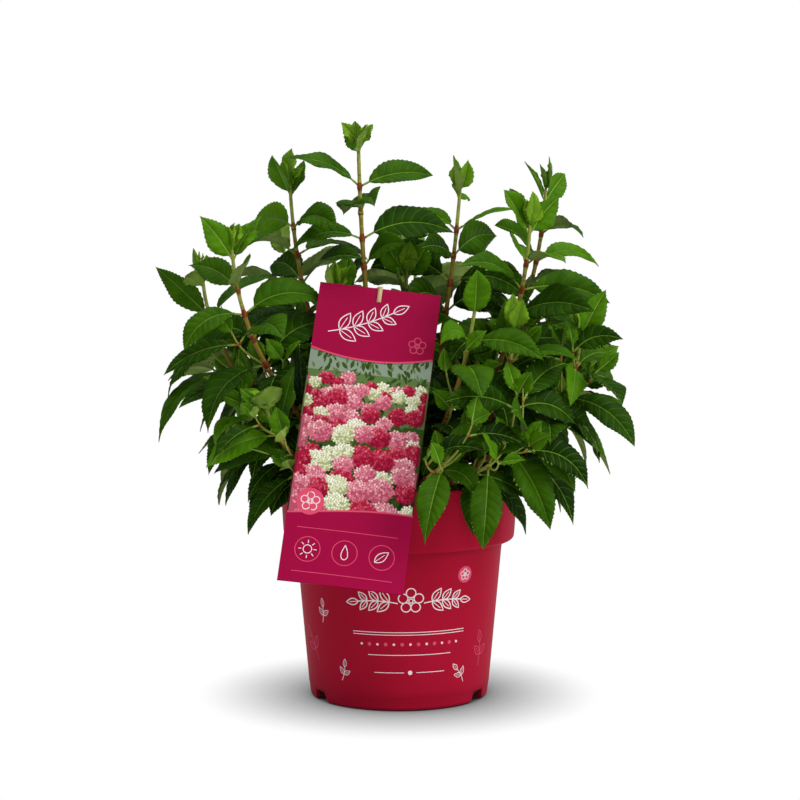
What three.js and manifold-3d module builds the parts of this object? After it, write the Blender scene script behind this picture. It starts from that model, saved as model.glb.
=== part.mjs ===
// A young panicle hydrangea in leaf, in the round plastic nursery pot that it is sold in,
// with a picture card hung on its tallest stem. Millimetres, +Z up, origin under the pot.
// The stems rise from the soil as bare canes. Each carries one mass of foliage: the leafy
// upper stem with its leaves in opposite pairs, each pair turned a quarter from the last.

import * as THREE from "three";
import { mergeVertices } from "three/addons/utils/BufferGeometryUtils.js";
import Module from "manifold-3d";

const wasm = await Module();
wasm.setup();

// Driving dimensions
const POT_HEIGHT = 174;
const RIM_RADIUS = 95;
const COLLAR_FOOT_Z = 126;
const COLLAR_FOOT_RADIUS = 92.2;
const BODY_TOP_RADIUS = 82.6;
const BASE_RADIUS = 71.3;
const WALL = 2;
const FLOOR = 3; // thickness of the pot's floor
const ROUND = 28; // flats round the pot
const SOIL_TOP = 157;
const GAP = 0.3; // between pieces that touch
const SIMPLER = 0.08; // how far a joined mass may move where spare corners are taken out
const NOTCH = { width: 19, topWidth: 15, height: 9, corner: 3, angles: [60, 180, 300] };
const CARD = { width: 95, length: 240, thickness: 0.8, corner: 2, roll: 7.1 };
const CARD_TOP = new THREE.Vector3(-14.3, -31, 325.5); // middle of the card's upper edge
const SLOT = { width: 9, height: 4, below: 13 };
const STRAP = { width: 3.4, thickness: 0.8 };
const CANE = { foot: 3, tip: 1.35, sides: 5 }; // radii of a whole stem
const STRAIGHT = 0.1; // share of its rise over which a stem leaves the soil upright
const KNEE_REACH = 0.12; // how far the knee's control point lies past the knee
const BARE = 0.3; // share of a stem below its first leaves
const STEPS = { cane: 3, stem: 7, room: 20 }; // stretches that a stem is drawn in
// How a stem grows: the share of its rise gained at the knee, the mean distance between
// pairs of leaves, the turn from one pair to the next, where the first pair sits and where
// the last may sit. The pairs of a stem that hangs over the rim are twisted flat, towards
// the light.
const UPRIGHT = { knee: 0.36, internode: 30, turn: 90, first: 0.35, end: 0.92 };
const HANGING = { knee: 0.9, internode: 22, turn: 35, first: 0.9, end: 1 };
const LEAF = { length: 98, slim: 0.36, youngSlim: 0.56, petiole: 0.13, tilt: 50 };
// Leaves stand out from the stem and droop less towards its tip, in degrees.
const SPREAD = { low: 64, less: 12, perHang: 0.45 };
const DROOP = { low: 84, less: 38, steepest: -78 };
// The two young pairs that stand like a cup at the tip of an upright stem.
const YOUNG = [
  { u: 0.962, length: 42, spread: 26, droop: 6 },
  { u: 0.992, length: 28, spread: 12, droop: -6 },
];
const JITTER = { turn: 12, spread: 11, droop: 18, tilt: 24, length: 0.1, width: 0.08, bend: 0.22 };
const LIGHT = { side: 0.6, rear: 60 }; // leaves in front of this depth face the front
const CLEAR = 0.6; // room kept round a leaf when it is placed
const TRIES = { most: 8, shrink: 0.93, wider: 0.5 };
const ROOM = { pot: 1.5, rim: 1.2, cardSide: 1.5, cardFront: 60, cardBack: 2 }; // free of leaves
const CROWN = { halfWidth: 196, halfDepth: 182, lowest: 112, highest: 458 };

// The stems: foot and tip in the pot's frame, the share of their spread gained at the knee,
// the turn of the first pair of leaves about the stem in degrees, the size of the leaves, and
// how much further than usual they hang, in degrees.
const SHOOTS = [
  { name: "front_left", foot: [-16, -14], tip: [-129, -45, 356], knee: 0.8, turn: 25, size: 1 },
  { name: "far_left", foot: [-20, 6], tip: [-157, 10, 334], knee: 0.82, turn: 15, size: 1.05 },
  { name: "upper_left", foot: [-10, 4], tip: [-87, 12, 408], knee: 0.78, turn: 35, size: 1 },
  { name: "tallest", foot: [-5, -5], tip: [-32, -5, 441], knee: 0.75, turn: 20, size: 0.95 },
  { name: "upper_right", foot: [6, 6], tip: [49, 22, 404], knee: 0.6, turn: 60, size: 0.95 },
  { name: "right_of_middle", foot: [16, -4], tip: [102, -30, 376], knee: 0.8, turn: 20, size: 0.95 },
  { name: "rear_right", foot: [14, 12], tip: [119, 40, 404], knee: 0.8, turn: 30, size: 0.95 },
  { name: "front_middle", foot: [6, -22], tip: [58, -68, 312], knee: 0.62, turn: 75, size: 1 },
  { name: "front_right", foot: [18, -16], tip: [88, -58, 295], knee: 0.85, turn: 45, size: 0.95 },
  { name: "far_right", foot: [25, -8], tip: [140, -45, 294], knee: 0.92, turn: -20, size: 0.95 },
  { name: "low_right", foot: [26, 3], tip: [146, 8, 258], knee: 0.8, turn: 40, size: 0.9 },
  { name: "low_left", foot: [-25, -6], tip: [-122, -34, 246], knee: 0.8, turn: 75, size: 0.95 },
  { name: "middle", foot: [-1, 1], tip: [6, 20, 338], knee: 0.8, turn: 0, size: 0.9 },
  { name: "behind_card", foot: [-14, -3], tip: [-50, -2, 322], knee: 0.75, turn: 65, size: 0.9 },
  { name: "rear_middle", foot: [2, 16], tip: [14, 118, 352], knee: 0.8, turn: 30, size: 1 },
  { name: "rear_left", foot: [-14, 15], tip: [-96, 84, 356], knee: 0.8, turn: 10, size: 1 },
  { name: "rear_far_left", foot: [-24, 15], tip: [-138, 78, 268], knee: 0.85, turn: 70, size: 0.95 },
  { name: "rear_far_right", foot: [22, 20], tip: [128, 98, 292], knee: 0.85, turn: 25, size: 1 },
  { name: "low_rear", foot: [0, 27], tip: [8, 152, 258], knee: 0.85, turn: 45, size: 0.95 },
  { name: "low_front", foot: [2, -30], tip: [34, -116, 198], knee: 0.8, turn: -10, size: 1, hang: 45 },
  { name: "low_front_middle", foot: [8, -37], tip: [68, -108, 196], knee: 0.8, turn: 0, size: 1, hang: 45 },
  { name: "low_front_right", foot: [14, -28], tip: [94, -94, 216], knee: 0.8, turn: 50, size: 1, hang: 20 },
  { name: "low_front_left", foot: [-24, -22], tip: [-100, -84, 238], knee: 0.8, turn: 40, size: 0.9 },
  { name: "inner_right", foot: [12, 2], tip: [62, -4, 268], knee: 0.8, turn: 70, size: 0.9 },
];

const finish = {
  pot: new THREE.MeshStandardMaterial({ color: 0x9c1f3a, roughness: 0.45 }),
  soil: new THREE.MeshStandardMaterial({ color: 0x2b1d14, roughness: 1 }),
  card: new THREE.MeshStandardMaterial({ color: 0x9d0f42, roughness: 0.3 }),
  strap: new THREE.MeshStandardMaterial({ color: 0xcdb389, roughness: 0.6 }),
  cane: new THREE.MeshStandardMaterial({ color: 0x6f4a25, roughness: 0.8 }),
  foliage: new THREE.MeshStandardMaterial({ color: 0x32580f, roughness: 0.5 }),
};

// A geometry as a solid that can be joined and cut, and back again.
function solid(geometry) {
  const bare = geometry.clone();
  bare.deleteAttribute("normal");
  bare.deleteAttribute("uv");
  const closed = mergeVertices(bare, 1e-4);
  return new wasm.Manifold(
    new wasm.Mesh({
      numProp: 3,
      vertProperties: new Float32Array(closed.attributes.position.array),
      triVerts: new Uint32Array(closed.index.array),
    }),
  );
}

function geometryOf(body) {
  const mesh = body.getMesh();
  const geometry = new THREE.BufferGeometry();
  geometry.setAttribute("position", new THREE.BufferAttribute(mesh.vertProperties, 3));
  geometry.setIndex(new THREE.BufferAttribute(mesh.triVerts, 1));
  geometry.computeVertexNormals();
  return geometry;
}

// A closed skin over rings of points that run anticlockwise seen from the end. The last
// ring may be a single point.
function loft(rings) {
  const points = [];
  const faces = [];
  const starts = rings.map((ring) => {
    points.push(...ring);
    return points.length - ring.length;
  });
  const around = rings[0].length;
  for (let i = 1; i < around - 1; i++) faces.push(0, i + 1, i);
  for (let r = 1; r < rings.length; r++) {
    const [a, b] = [starts[r - 1], starts[r]];
    for (let i = 0; i < around; i++) {
      const j = (i + 1) % around;
      if (rings[r].length === 1) faces.push(a + i, a + j, b);
      else faces.push(a + i, a + j, b + j, a + i, b + j, b + i);
    }
  }
  const last = starts[rings.length - 1];
  if (rings[rings.length - 1].length > 1)
    for (let i = 1; i < around - 1; i++) faces.push(last, last + i, last + i + 1);
  const geometry = new THREE.BufferGeometry().setFromPoints(points);
  geometry.setIndex(faces);
  return geometry;
}

// The pot: a tapering body under a tall collar that steps out, turned in one profile.
function potGeometry() {
  const inside = WALL + 1.2;
  const profile = [
    [0, 0],
    [BASE_RADIUS - 3.5, 0],
    [BASE_RADIUS - 1, 0.9],
    [BASE_RADIUS, 3.2],
    [BODY_TOP_RADIUS, COLLAR_FOOT_Z],
    [COLLAR_FOOT_RADIUS - 3.2, COLLAR_FOOT_Z],
    [COLLAR_FOOT_RADIUS - 0.9, COLLAR_FOOT_Z + 1],
    [COLLAR_FOOT_RADIUS, COLLAR_FOOT_Z + 3.4],
    [RIM_RADIUS, POT_HEIGHT - 2.4],
    [RIM_RADIUS - 0.6, POT_HEIGHT - 0.6],
    [RIM_RADIUS - 1.6, POT_HEIGHT],
    [RIM_RADIUS - 2.4, POT_HEIGHT - 0.8],
    [COLLAR_FOOT_RADIUS - WALL, COLLAR_FOOT_Z + inside],
    [COLLAR_FOOT_RADIUS - WALL - 2, COLLAR_FOOT_Z + WALL],
    [BODY_TOP_RADIUS - WALL, COLLAR_FOOT_Z + WALL],
    [BASE_RADIUS - WALL, FLOOR + 2.5],
    [BASE_RADIUS - WALL - 2.5, FLOOR],
    [0, FLOOR],
  ].map(([r, z]) => new THREE.Vector2(r, z));
  const turned = new THREE.LatheGeometry(profile, ROUND).rotateX(Math.PI / 2);
  let body = solid(turned);
  for (const angle of NOTCH.angles) {
    const half = NOTCH.width / 2;
    const top = NOTCH.topWidth / 2;
    const shape = new THREE.Shape();
    shape.moveTo(-half - 0.3, -1);
    shape.lineTo(half + 0.3, -1);
    shape.lineTo(top + 0.6, NOTCH.height - NOTCH.corner);
    shape.quadraticCurveTo(top, NOTCH.height, top - NOTCH.corner, NOTCH.height);
    shape.lineTo(NOTCH.corner - top, NOTCH.height);
    shape.quadraticCurveTo(-top, NOTCH.height, -top - 0.6, NOTCH.height - NOTCH.corner);
    shape.closePath();
    const cutter = new THREE.ExtrudeGeometry(shape, {
      depth: 12,
      bevelEnabled: false,
      curveSegments: 3,
    });
    cutter.rotateX(Math.PI / 2);
    cutter.translate(0, 5.5 - BASE_RADIUS, 0);
    cutter.rotateZ(THREE.MathUtils.degToRad(angle));
    body = body.subtract(solid(cutter));
  }
  return geometryOf(body);
}

// The potting soil fills the pot to a finger's breadth under the rim.
function soilGeometry() {
  const slope = (COLLAR_FOOT_RADIUS - RIM_RADIUS) / (COLLAR_FOOT_Z - POT_HEIGHT);
  const topRadius = COLLAR_FOOT_RADIUS - WALL + slope * (SOIL_TOP - COLLAR_FOOT_Z - 6);
  const profile = [
    [0, FLOOR + GAP],
    [BASE_RADIUS - WALL - 3, FLOOR + GAP],
    [BASE_RADIUS - WALL - GAP, FLOOR + 3],
    [BODY_TOP_RADIUS - WALL - GAP, COLLAR_FOOT_Z + WALL + GAP],
    [COLLAR_FOOT_RADIUS - WALL - 2.4, COLLAR_FOOT_Z + WALL + GAP],
    [COLLAR_FOOT_RADIUS - WALL - GAP - 0.2, COLLAR_FOOT_Z + 4],
    [topRadius - GAP - 0.3, SOIL_TOP - 1.5],
    [topRadius - 3, SOIL_TOP],
    [0, SOIL_TOP],
  ].map(([r, z]) => new THREE.Vector2(r, z));
  return geometryOf(solid(new THREE.LatheGeometry(profile, ROUND).rotateX(Math.PI / 2)));
}

// The card hangs from its upper edge and leans out over the rim. Local x runs across it,
// z up it, and y through it.
function cardGeometry() {
  const { width, length, thickness, corner } = CARD;
  const half = width / 2;
  const card = new THREE.Shape();
  card.moveTo(corner - half, -length);
  card.lineTo(half - corner, -length);
  card.quadraticCurveTo(half, -length, half, corner - length);
  card.lineTo(half, -corner);
  card.quadraticCurveTo(half, 0, half - corner, 0);
  card.lineTo(corner - half, 0);
  card.quadraticCurveTo(-half, 0, -half, -corner);
  card.lineTo(-half, corner - length);
  card.quadraticCurveTo(-half, -length, corner - half, -length);
  const slot = new THREE.Path();
  const [x, z] = [SLOT.width / 2, SLOT.height / 2];
  slot.moveTo(-x, -SLOT.below - z);
  slot.lineTo(-x, z - SLOT.below);
  slot.lineTo(x, z - SLOT.below);
  slot.lineTo(x, -SLOT.below - z);
  slot.closePath();
  card.holes.push(slot);
  const flat = new THREE.ExtrudeGeometry(card, {
    depth: thickness,
    bevelEnabled: false,
    curveSegments: 3,
  });
  return flat.rotateX(Math.PI / 2).translate(0, thickness / 2, 0);
}

function cardGroup() {
  const group = new THREE.Group();
  const lean = Math.atan2(RIM_RADIUS + 0.9 + CARD_TOP.y, CARD_TOP.z - POT_HEIGHT + 2.4);
  group.rotation.order = "ZXY";
  group.rotation.set(-lean, THREE.MathUtils.degToRad(CARD.roll), 0);
  group.position.copy(CARD_TOP);
  group.updateMatrixWorld(true);
  return group;
}

// A numbered stream of repeatable random values between 0 and 1.
function randomStream(seed) {
  let state = seed >>> 0;
  return () => {
    state = (state + 0x6d2b79f5) >>> 0;
    let t = state;
    t = Math.imul(t ^ (t >>> 15), t | 1);
    t ^= t + Math.imul(t ^ (t >>> 7), t | 61);
    return ((t ^ (t >>> 14)) >>> 0) / 4294967296;
  };
}

// A stem leaves the soil upright, leans out to its knee and turns up again to its tip.
function stemCurve({ foot, tip, knee, hang }) {
  const low = SOIL_TOP + GAP;
  const start = new THREE.Vector3(foot[0], foot[1], low);
  const end = new THREE.Vector3(...tip);
  const rise = end.z - low;
  const bend = start.clone().lerp(end, knee + KNEE_REACH);
  bend.z = low + (hang ? HANGING : UPRIGHT).knee * rise;
  const upright = start.clone().add(new THREE.Vector3(0, 0, STRAIGHT * rise));
  return new THREE.CubicBezierCurve3(start, upright, bend, end);
}

function stemRadius(u) {
  return CANE.foot + (CANE.tip - CANE.foot) * Math.pow(u, 0.8);
}

// One stretch of a stem between two shares of its length, as rings of points.
function stemRings(curve, from, to, steps, grow) {
  const rings = [];
  for (let k = 0; k <= steps; k++) {
    const u = THREE.MathUtils.lerp(from, to, k / steps);
    const centre = curve.getPointAt(u);
    const along = u === 0 ? new THREE.Vector3(0, 0, 1) : curve.getTangentAt(u);
    const side = new THREE.Vector3(0, 1, 0).cross(along).normalize();
    const front = along.clone().cross(side);
    const radius = stemRadius(u) + grow;
    const ring = [];
    for (let i = 0; i < CANE.sides; i++) {
      const angle = (2 * Math.PI * i) / CANE.sides;
      ring.push(
        centre
          .clone()
          .addScaledVector(side, radius * Math.cos(angle))
          .addScaledVector(front, radius * Math.sin(angle)),
      );
    }
    rings.push(ring);
  }
  return rings;
}

// The leaves that a stem may carry, from its lowest pair to the young ones at its tip. A
// stem that hangs over the rim has no young ones.
function leafPlaces(shoot, curve) {
  const habit = shoot.hang ? HANGING : UPRIGHT;
  const pairs = Math.round((curve.getLength() * (1 - BARE)) / habit.internode);
  const places = [];
  for (let k = 0; k < pairs; k++) {
    const f = Math.pow((k + habit.first) / pairs, 0.8);
    places.push({
      u: BARE + 0.02 + (habit.end - 0.02 - BARE) * f,
      length: LEAF.length * shoot.size * (0.86 + 0.55 * f - 0.76 * f * f),
      spread: SPREAD.low - SPREAD.less * f + SPREAD.perHang * (shoot.hang ?? 0),
      droop: DROOP.low - DROOP.less * f + (shoot.hang ?? 0),
      azimuth: shoot.turn + habit.turn * k,
      young: false,
    });
  }
  if (shoot.hang) return places;
  YOUNG.forEach((pair, k) => {
    places.push({ ...pair, azimuth: shoot.turn + habit.turn * (pairs + k), young: true });
  });
  return places;
}

// One leaf as a curved rib: where it starts, bends and ends, and which way its blade lies.
function leafRib(curve, place, side, number, attempt) {
  const random = randomStream(7919 * number + 104729 * attempt + 17);
  const jitter = (range) => (random() * 2 - 1) * range;
  const wider = 1 + attempt * TRIES.wider;
  const along = curve.getTangentAt(place.u);
  const turn = THREE.MathUtils.degToRad(place.azimuth + 180 * side + jitter(JITTER.turn) * wider);
  const spread = THREE.MathUtils.degToRad(place.spread + jitter(JITTER.spread) * wider);
  const droop = THREE.MathUtils.degToRad(place.droop + jitter(JITTER.droop) * wider);
  const length = place.length * (1 + jitter(JITTER.length)) * TRIES.shrink ** attempt;
  const reference = new THREE.Vector3(1, 0, 0).addScaledVector(along, -along.x).normalize();
  const out = reference.applyAxisAngle(along, turn);
  const first = along.clone().multiplyScalar(Math.cos(spread)).addScaledVector(out, Math.sin(spread));
  const flat = new THREE.Vector3(first.x, first.y, 0);
  if (flat.length() < 0.2) flat.add(new THREE.Vector3(out.x, out.y, 0));
  flat.normalize();
  const rise = Math.atan2(first.z, Math.hypot(first.x, first.y)) - droop;
  const fall = Math.max(rise, THREE.MathUtils.degToRad(DROOP.steepest));
  const last = flat.clone().multiplyScalar(Math.cos(fall));
  last.z = Math.sin(fall);
  last.addScaledVector(new THREE.Vector3(-flat.y, flat.x, 0), jitter(JITTER.bend)).normalize();
  const root = curve.getPointAt(place.u);
  const bend = root.clone().addScaledVector(first, length * 0.5);
  const tip = bend.clone().addScaledVector(last, length * 0.5);
  const tilt = THREE.MathUtils.degToRad(LEAF.tilt + jitter(JITTER.tilt));
  const light = new THREE.Vector3(LIGHT.side * bend.x, bend.y - LIGHT.rear, 0).normalize();
  light.multiplyScalar(Math.sin(tilt)).z = Math.cos(tilt);
  const across = light.cross(tip.clone().sub(root)).normalize();
  const slim = place.young ? LEAF.youngSlim : LEAF.slim;
  const width = length * slim * (1 + jitter(JITTER.width));
  return { root, bend, tip, across, width, young: place.young };
}

// Half width and thickness of a leaf at shares of its length, up to its point.
const LEAF_STATIONS = [
  { at: 0, half: 0.9, thick: 1.7 },
  { at: LEAF.petiole, half: 1.2, thick: 1.8 },
  { at: 0.37, share: 0.96, thick: 1.8 },
  { at: 0.67, share: 0.84, thick: 1.4 },
];
const YOUNG_STATIONS = [
  { at: 0, half: 0.8, thick: 1.3 },
  { at: 0.5, share: 1, thick: 1.3 },
];

// The same leaf without the foot that it shares with its stem.
function bladeStations([foot, next, ...rest]) {
  return [{ ...foot, at: LEAF.petiole + 0.04 }, { ...next, at: Math.max(next.at, 0.24) }, ...rest];
}

function leafGeometry(rib, grow, bladeOnly = false) {
  const curve = new THREE.QuadraticBezierCurve3(rib.root, rib.bend, rib.tip);
  const stations = rib.young ? YOUNG_STATIONS : LEAF_STATIONS;
  const rings = (bladeOnly ? bladeStations(stations) : stations).map((station) => {
    const centre = curve.getPoint(station.at);
    const along = curve.getTangent(station.at);
    const up = along.clone().cross(rib.across).normalize();
    const across = up.clone().cross(along);
    const half = (station.half ?? (station.share * rib.width) / 2) + grow;
    const edge = centre.clone().addScaledVector(up, station.thick / 2 + grow);
    return [
      centre.clone().addScaledVector(up, -station.thick / 2 - grow),
      edge.clone().addScaledVector(across, half),
      edge.clone().addScaledVector(across, -half),
    ];
  });
  const end = curve.getTangent(1);
  rings.push([rib.tip.clone().addScaledVector(end, grow)]);
  return loft(rings);
}

// A closed shape as plain points and faces, with the box that holds each face.
function shell(geometry) {
  const place = geometry.attributes.position;
  const index = geometry.index.array;
  const faces = [];
  for (let i = 0; i < index.length; i += 3) {
    const corners = [0, 1, 2].map((k) => new THREE.Vector3().fromBufferAttribute(place, index[i + k]));
    faces.push({ corners, box: new THREE.Box3().setFromPoints(corners) });
  }
  return { faces, box: new THREE.Box3().setFromBufferAttribute(place) };
}

// Six times the volume between a point and a triangle, with its sign.
function volume(p, a, b, c) {
  const [x, y, z] = [p.x, p.y, p.z];
  const [ax, ay, az] = [a.x - x, a.y - y, a.z - z];
  const [bx, by, bz] = [b.x - x, b.y - y, b.z - z];
  const [cx, cy, cz] = [c.x - x, c.y - y, c.z - z];
  return ax * (by * cz - bz * cy) - ay * (bx * cz - bz * cx) + az * (bx * cy - by * cx);
}

function pierces(p, q, [a, b, c]) {
  if (volume(p, a, b, c) * volume(q, a, b, c) > 0) return false;
  const turns = [volume(p, q, a, b), volume(p, q, b, c), volume(p, q, c, a)];
  return turns.every((v) => v >= 0) || turns.every((v) => v <= 0);
}

function cross(one, two) {
  if (!one.box.intersectsBox(two.box)) return false;
  for (const f of one.faces) {
    if (!f.box.intersectsBox(two.box)) continue;
    for (const g of two.faces) {
      if (!f.box.intersectsBox(g.box)) continue;
      for (let k = 0; k < 3; k++) {
        if (pierces(f.corners[k], f.corners[(k + 1) % 3], g.corners)) return true;
        if (pierces(g.corners[k], g.corners[(k + 1) % 3], f.corners)) return true;
      }
    }
  }
  return false;
}

// What no leaf may touch besides the stems: the pot with its soil, and the card with the
// open space in front of it.
function potShell() {
  const profile = [
    [0, -2],
    [BASE_RADIUS + ROOM.pot, -2],
    [BODY_TOP_RADIUS + ROOM.pot, COLLAR_FOOT_Z - ROOM.pot],
    [COLLAR_FOOT_RADIUS + ROOM.pot, COLLAR_FOOT_Z - ROOM.pot],
    [RIM_RADIUS + ROOM.pot, POT_HEIGHT + ROOM.rim],
    [RIM_RADIUS - 4, POT_HEIGHT + ROOM.rim],
    [RIM_RADIUS - 5, SOIL_TOP + 2],
    [0, SOIL_TOP + 2],
  ].map(([r, z]) => new THREE.Vector2(r, z));
  const turned = new THREE.LatheGeometry(profile, 32).rotateX(Math.PI / 2);
  return shell(geometryOf(solid(turned)));
}

function cardShell(card) {
  const spare = 2 * ROOM.cardSide;
  const depth = ROOM.cardFront + ROOM.cardBack;
  const room = new THREE.BoxGeometry(CARD.width + spare, depth, CARD.length + spare);
  room.translate(0, (ROOM.cardBack - ROOM.cardFront) / 2, -CARD.length / 2);
  return shell(room.applyMatrix4(card.matrixWorld));
}

function inCrown(point) {
  const [x, y] = [point.x / CROWN.halfWidth, point.y / CROWN.halfDepth];
  return x * x + y * y < 1 && point.z > CROWN.lowest && point.z < CROWN.highest;
}

// Every leaf is tried a few times, a little smaller and more turned each time, until it
// stays in the crown and touches nothing. One that never fits is left out.
function growLeaves(shoots, fixed) {
  const grown = [];
  shoots.forEach((shoot, number) => {
    const others = shoots.filter((other) => other !== shoot).map((other) => other.shell);
    const places = leafPlaces(shoot, shoot.curve);
    places.forEach((place, k) => {
      for (const side of [0, 1]) {
        for (let attempt = 0; attempt < TRIES.most; attempt++) {
          const rib = leafRib(shoot.curve, place, side, number * 64 + k * 2 + side, attempt);
          const tried = shell(leafGeometry(rib, CLEAR));
          const blade = shell(leafGeometry(rib, CLEAR, true));
          const near = grown.filter((leaf) => leaf.shell.box.intersectsBox(tried.box));
          const free =
            inCrown(rib.tip) &&
            !cross(blade, shoot.shell) &&
            ![...others, ...fixed].some((body) => cross(tried, body)) &&
            !near.some((leaf) =>
              leaf.number === number ? cross(blade, leaf.blade) : cross(tried, leaf.shell),
            );
          if (!free) continue;
          grown.push({
            number,
            rib,
            shell: shell(leafGeometry(rib, 0)),
            blade: shell(leafGeometry(rib, 0, true)),
          });
          break;
        }
      }
    });
  });
  return grown;
}

// The strap runs up in front of the card from its slot, over the edge, round the tallest
// stem and back through the slot: a closed flat band that turns a quarter on its way.
function strapGeometry(card, stem) {
  const local = (x, y, z) => new THREE.Vector3(x, y, z).applyMatrix4(card.matrixWorld);
  const level = local(0, 0, -SLOT.below / 2).z;
  let u = 0;
  while (stem.getPointAt(u).z < level) u += 0.002;
  const centre = stem.getPointAt(u);
  const reach = stemRadius(u) + STRAP.thickness / 2 + 0.5;
  const round = (x, y, z) => centre.clone().add(new THREE.Vector3(x * reach, y * reach, z));
  const off = CARD.thickness / 2 + STRAP.thickness / 2 + 0.35;
  const flat = local(1, 0, 0).sub(local(0, 0, 0));
  const upright = new THREE.Vector3(0, 0, 1);
  const stations = [
    [local(0, -off - 0.5, -SLOT.below + 3.4), flat],
    [local(0, -off, -1.6), flat],
    [local(0, 0, 1.6), flat],
    [local(-2, 5, 1.8), flat.clone().add(upright)],
    [round(-1.05, -1.2, 2), upright],
    [round(-0.8, 0.8, 0.8), upright],
    [round(0.8, 0.8, -0.8), upright],
    [round(1.05, -1.2, -2), upright],
    [local(2, 6, -SLOT.below + 3), flat.clone().add(upright)],
    [local(0, 1.6, -SLOT.below), flat],
  ];
  const path = new THREE.CatmullRomCurve3(stations.map(([point]) => point), true);
  const steps = stations.length * 3;
  const points = [];
  const faces = [];
  for (let i = 0; i < steps; i++) {
    const t = i / steps;
    const k = Math.floor(i / 3);
    const wide = stations[k][1].clone().normalize();
    wide.lerp(stations[(k + 1) % stations.length][1].clone().normalize(), (i % 3) / 3);
    const along = path.getTangent(t);
    const thin = wide.clone().cross(along).normalize();
    wide.copy(along).cross(thin);
    for (const [w, h] of [[1, 1], [-1, 1], [-1, -1], [1, -1]])
      points.push(
        path
          .getPoint(t)
          .addScaledVector(wide, (w * STRAP.width) / 2)
          .addScaledVector(thin, (h * STRAP.thickness) / 2),
      );
    for (let c = 0; c < 4; c++) {
      const [a, b] = [i * 4 + c, i * 4 + ((c + 1) % 4)];
      const [d, e] = [a, b].map((v) => (v + 4) % (steps * 4));
      faces.push(a, e, b, a, d, e);
    }
  }
  const band = new THREE.BufferGeometry().setFromPoints(points);
  band.setIndex(faces);
  return band;
}

function part(name, geometry, material) {
  const mesh = new THREE.Mesh(geometry, material);
  mesh.name = name;
  return mesh;
}

const pottedPlant = new THREE.Group();
pottedPlant.add(part("pot", potGeometry(), finish.pot));
pottedPlant.add(part("potting_soil", soilGeometry(), finish.soil));

const card = cardGroup();
card.add(part("picture_card", cardGeometry(), finish.card));
pottedPlant.add(card);

const shoots = SHOOTS.map((shoot) => {
  const curve = stemCurve(shoot);
  return { ...shoot, curve, shell: shell(loft(stemRings(curve, 0, 1, STEPS.room, 0.5))) };
});
const tallest = shoots.find((shoot) => shoot.name === "tallest");
const strap = strapGeometry(card, tallest.curve);
pottedPlant.add(part("card_strap", strap, finish.strap));

const leaves = growLeaves(shoots, [potShell(), cardShell(card), shell(strap)]);
const shrub = new THREE.Group();
shoots.forEach((shoot, number) => {
  const half = GAP / 2 / shoot.curve.getLength();
  const cane = loft(stemRings(shoot.curve, 0, BARE - half, STEPS.cane, 0));
  shrub.add(part("cane_" + shoot.name, cane, finish.cane));
  const stem = loft(stemRings(shoot.curve, BARE + half, 1, STEPS.stem, 0));
  const mass = leaves
    .filter((leaf) => leaf.number === number)
    .reduce((body, leaf) => body.add(solid(leafGeometry(leaf.rib, 0))), solid(stem));
  shrub.add(part("foliage_" + shoot.name, geometryOf(mass.simplify(SIMPLER)), finish.foliage));
});
pottedPlant.add(shrub);

export default pottedPlant;
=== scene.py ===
import math

import bpy
import numpy as np
from mathutils import Euler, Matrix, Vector
from mathutils.bvhtree import BVHTree


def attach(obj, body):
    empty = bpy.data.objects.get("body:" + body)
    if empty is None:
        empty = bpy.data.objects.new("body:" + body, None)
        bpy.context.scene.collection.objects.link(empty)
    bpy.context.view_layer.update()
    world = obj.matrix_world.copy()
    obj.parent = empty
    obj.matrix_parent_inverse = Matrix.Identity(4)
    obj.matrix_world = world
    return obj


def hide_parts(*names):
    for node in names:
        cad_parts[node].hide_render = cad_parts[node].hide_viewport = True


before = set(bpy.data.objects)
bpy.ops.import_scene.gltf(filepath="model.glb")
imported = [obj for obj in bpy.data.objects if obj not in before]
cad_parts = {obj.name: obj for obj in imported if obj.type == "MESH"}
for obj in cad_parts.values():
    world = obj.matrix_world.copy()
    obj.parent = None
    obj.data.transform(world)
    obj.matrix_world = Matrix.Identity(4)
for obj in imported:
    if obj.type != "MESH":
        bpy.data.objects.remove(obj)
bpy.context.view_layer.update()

MM = 0.001
CAMERA_DISTANCE = 1.6707
CAMERA_HEIGHT = 0.3779
CAMERA_PITCH = 0.0847
FOCAL_PIXELS = 2100.0
PICTURE_PIXELS = 800
SENSOR_MM = 36.0
FLOOR_MM = 30000
FLOOR_DROP = 0.15  # a hair under the pot's flat foot
# What the floor and the backdrop give as light, as shares of how bright they look.
FLOOR_GLOW = 0.9
BACKDROP_GLOW = 0.15
# Painted contact shadow on the floor: how near the pot and plant darken the floor's glow, and how
# steeply.
PAINTED_SHADOW_REACH = 90  # how near the plant has to be to dim the floor
PAINTED_SHADOW_DEPTH = 2.1


def linear(colour):
    """An sRGB hex colour as linear red, green, blue and full cover."""
    parts = [int(colour[i:i + 2], 16) / 255 for i in (1, 3, 5)]
    return [v / 12.92 if v <= 0.04045 else ((v + 0.055) / 1.055) ** 2.4 for v in parts] + [1]


def node(tree, kind, settings=(), links=()):
    """Adds one shader node, sets its properties and inputs, and links its inputs."""
    made = tree.nodes.new(kind)
    for name, value in dict(settings).items():
        if hasattr(made, name):
            setattr(made, name, value)
        else:
            made.inputs[name].default_value = value
    for name, source in dict(links).items():
        tree.links.new(source, made.inputs[name])
    return made


def material(name, colour, roughness, ior=1.45, sheen=0.08):
    """A dielectric finish with its uniform values on the shader's own sockets."""
    made = bpy.data.materials.new(name)
    made.use_nodes = True
    shader = made.node_tree.nodes["Principled BSDF"]
    shader.inputs["Base Color"].default_value = linear(colour)
    shader.inputs["Roughness"].default_value = roughness
    shader.inputs["IOR"].default_value = ior
    shader.inputs["Specular IOR Level"].default_value = sheen
    return made


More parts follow.
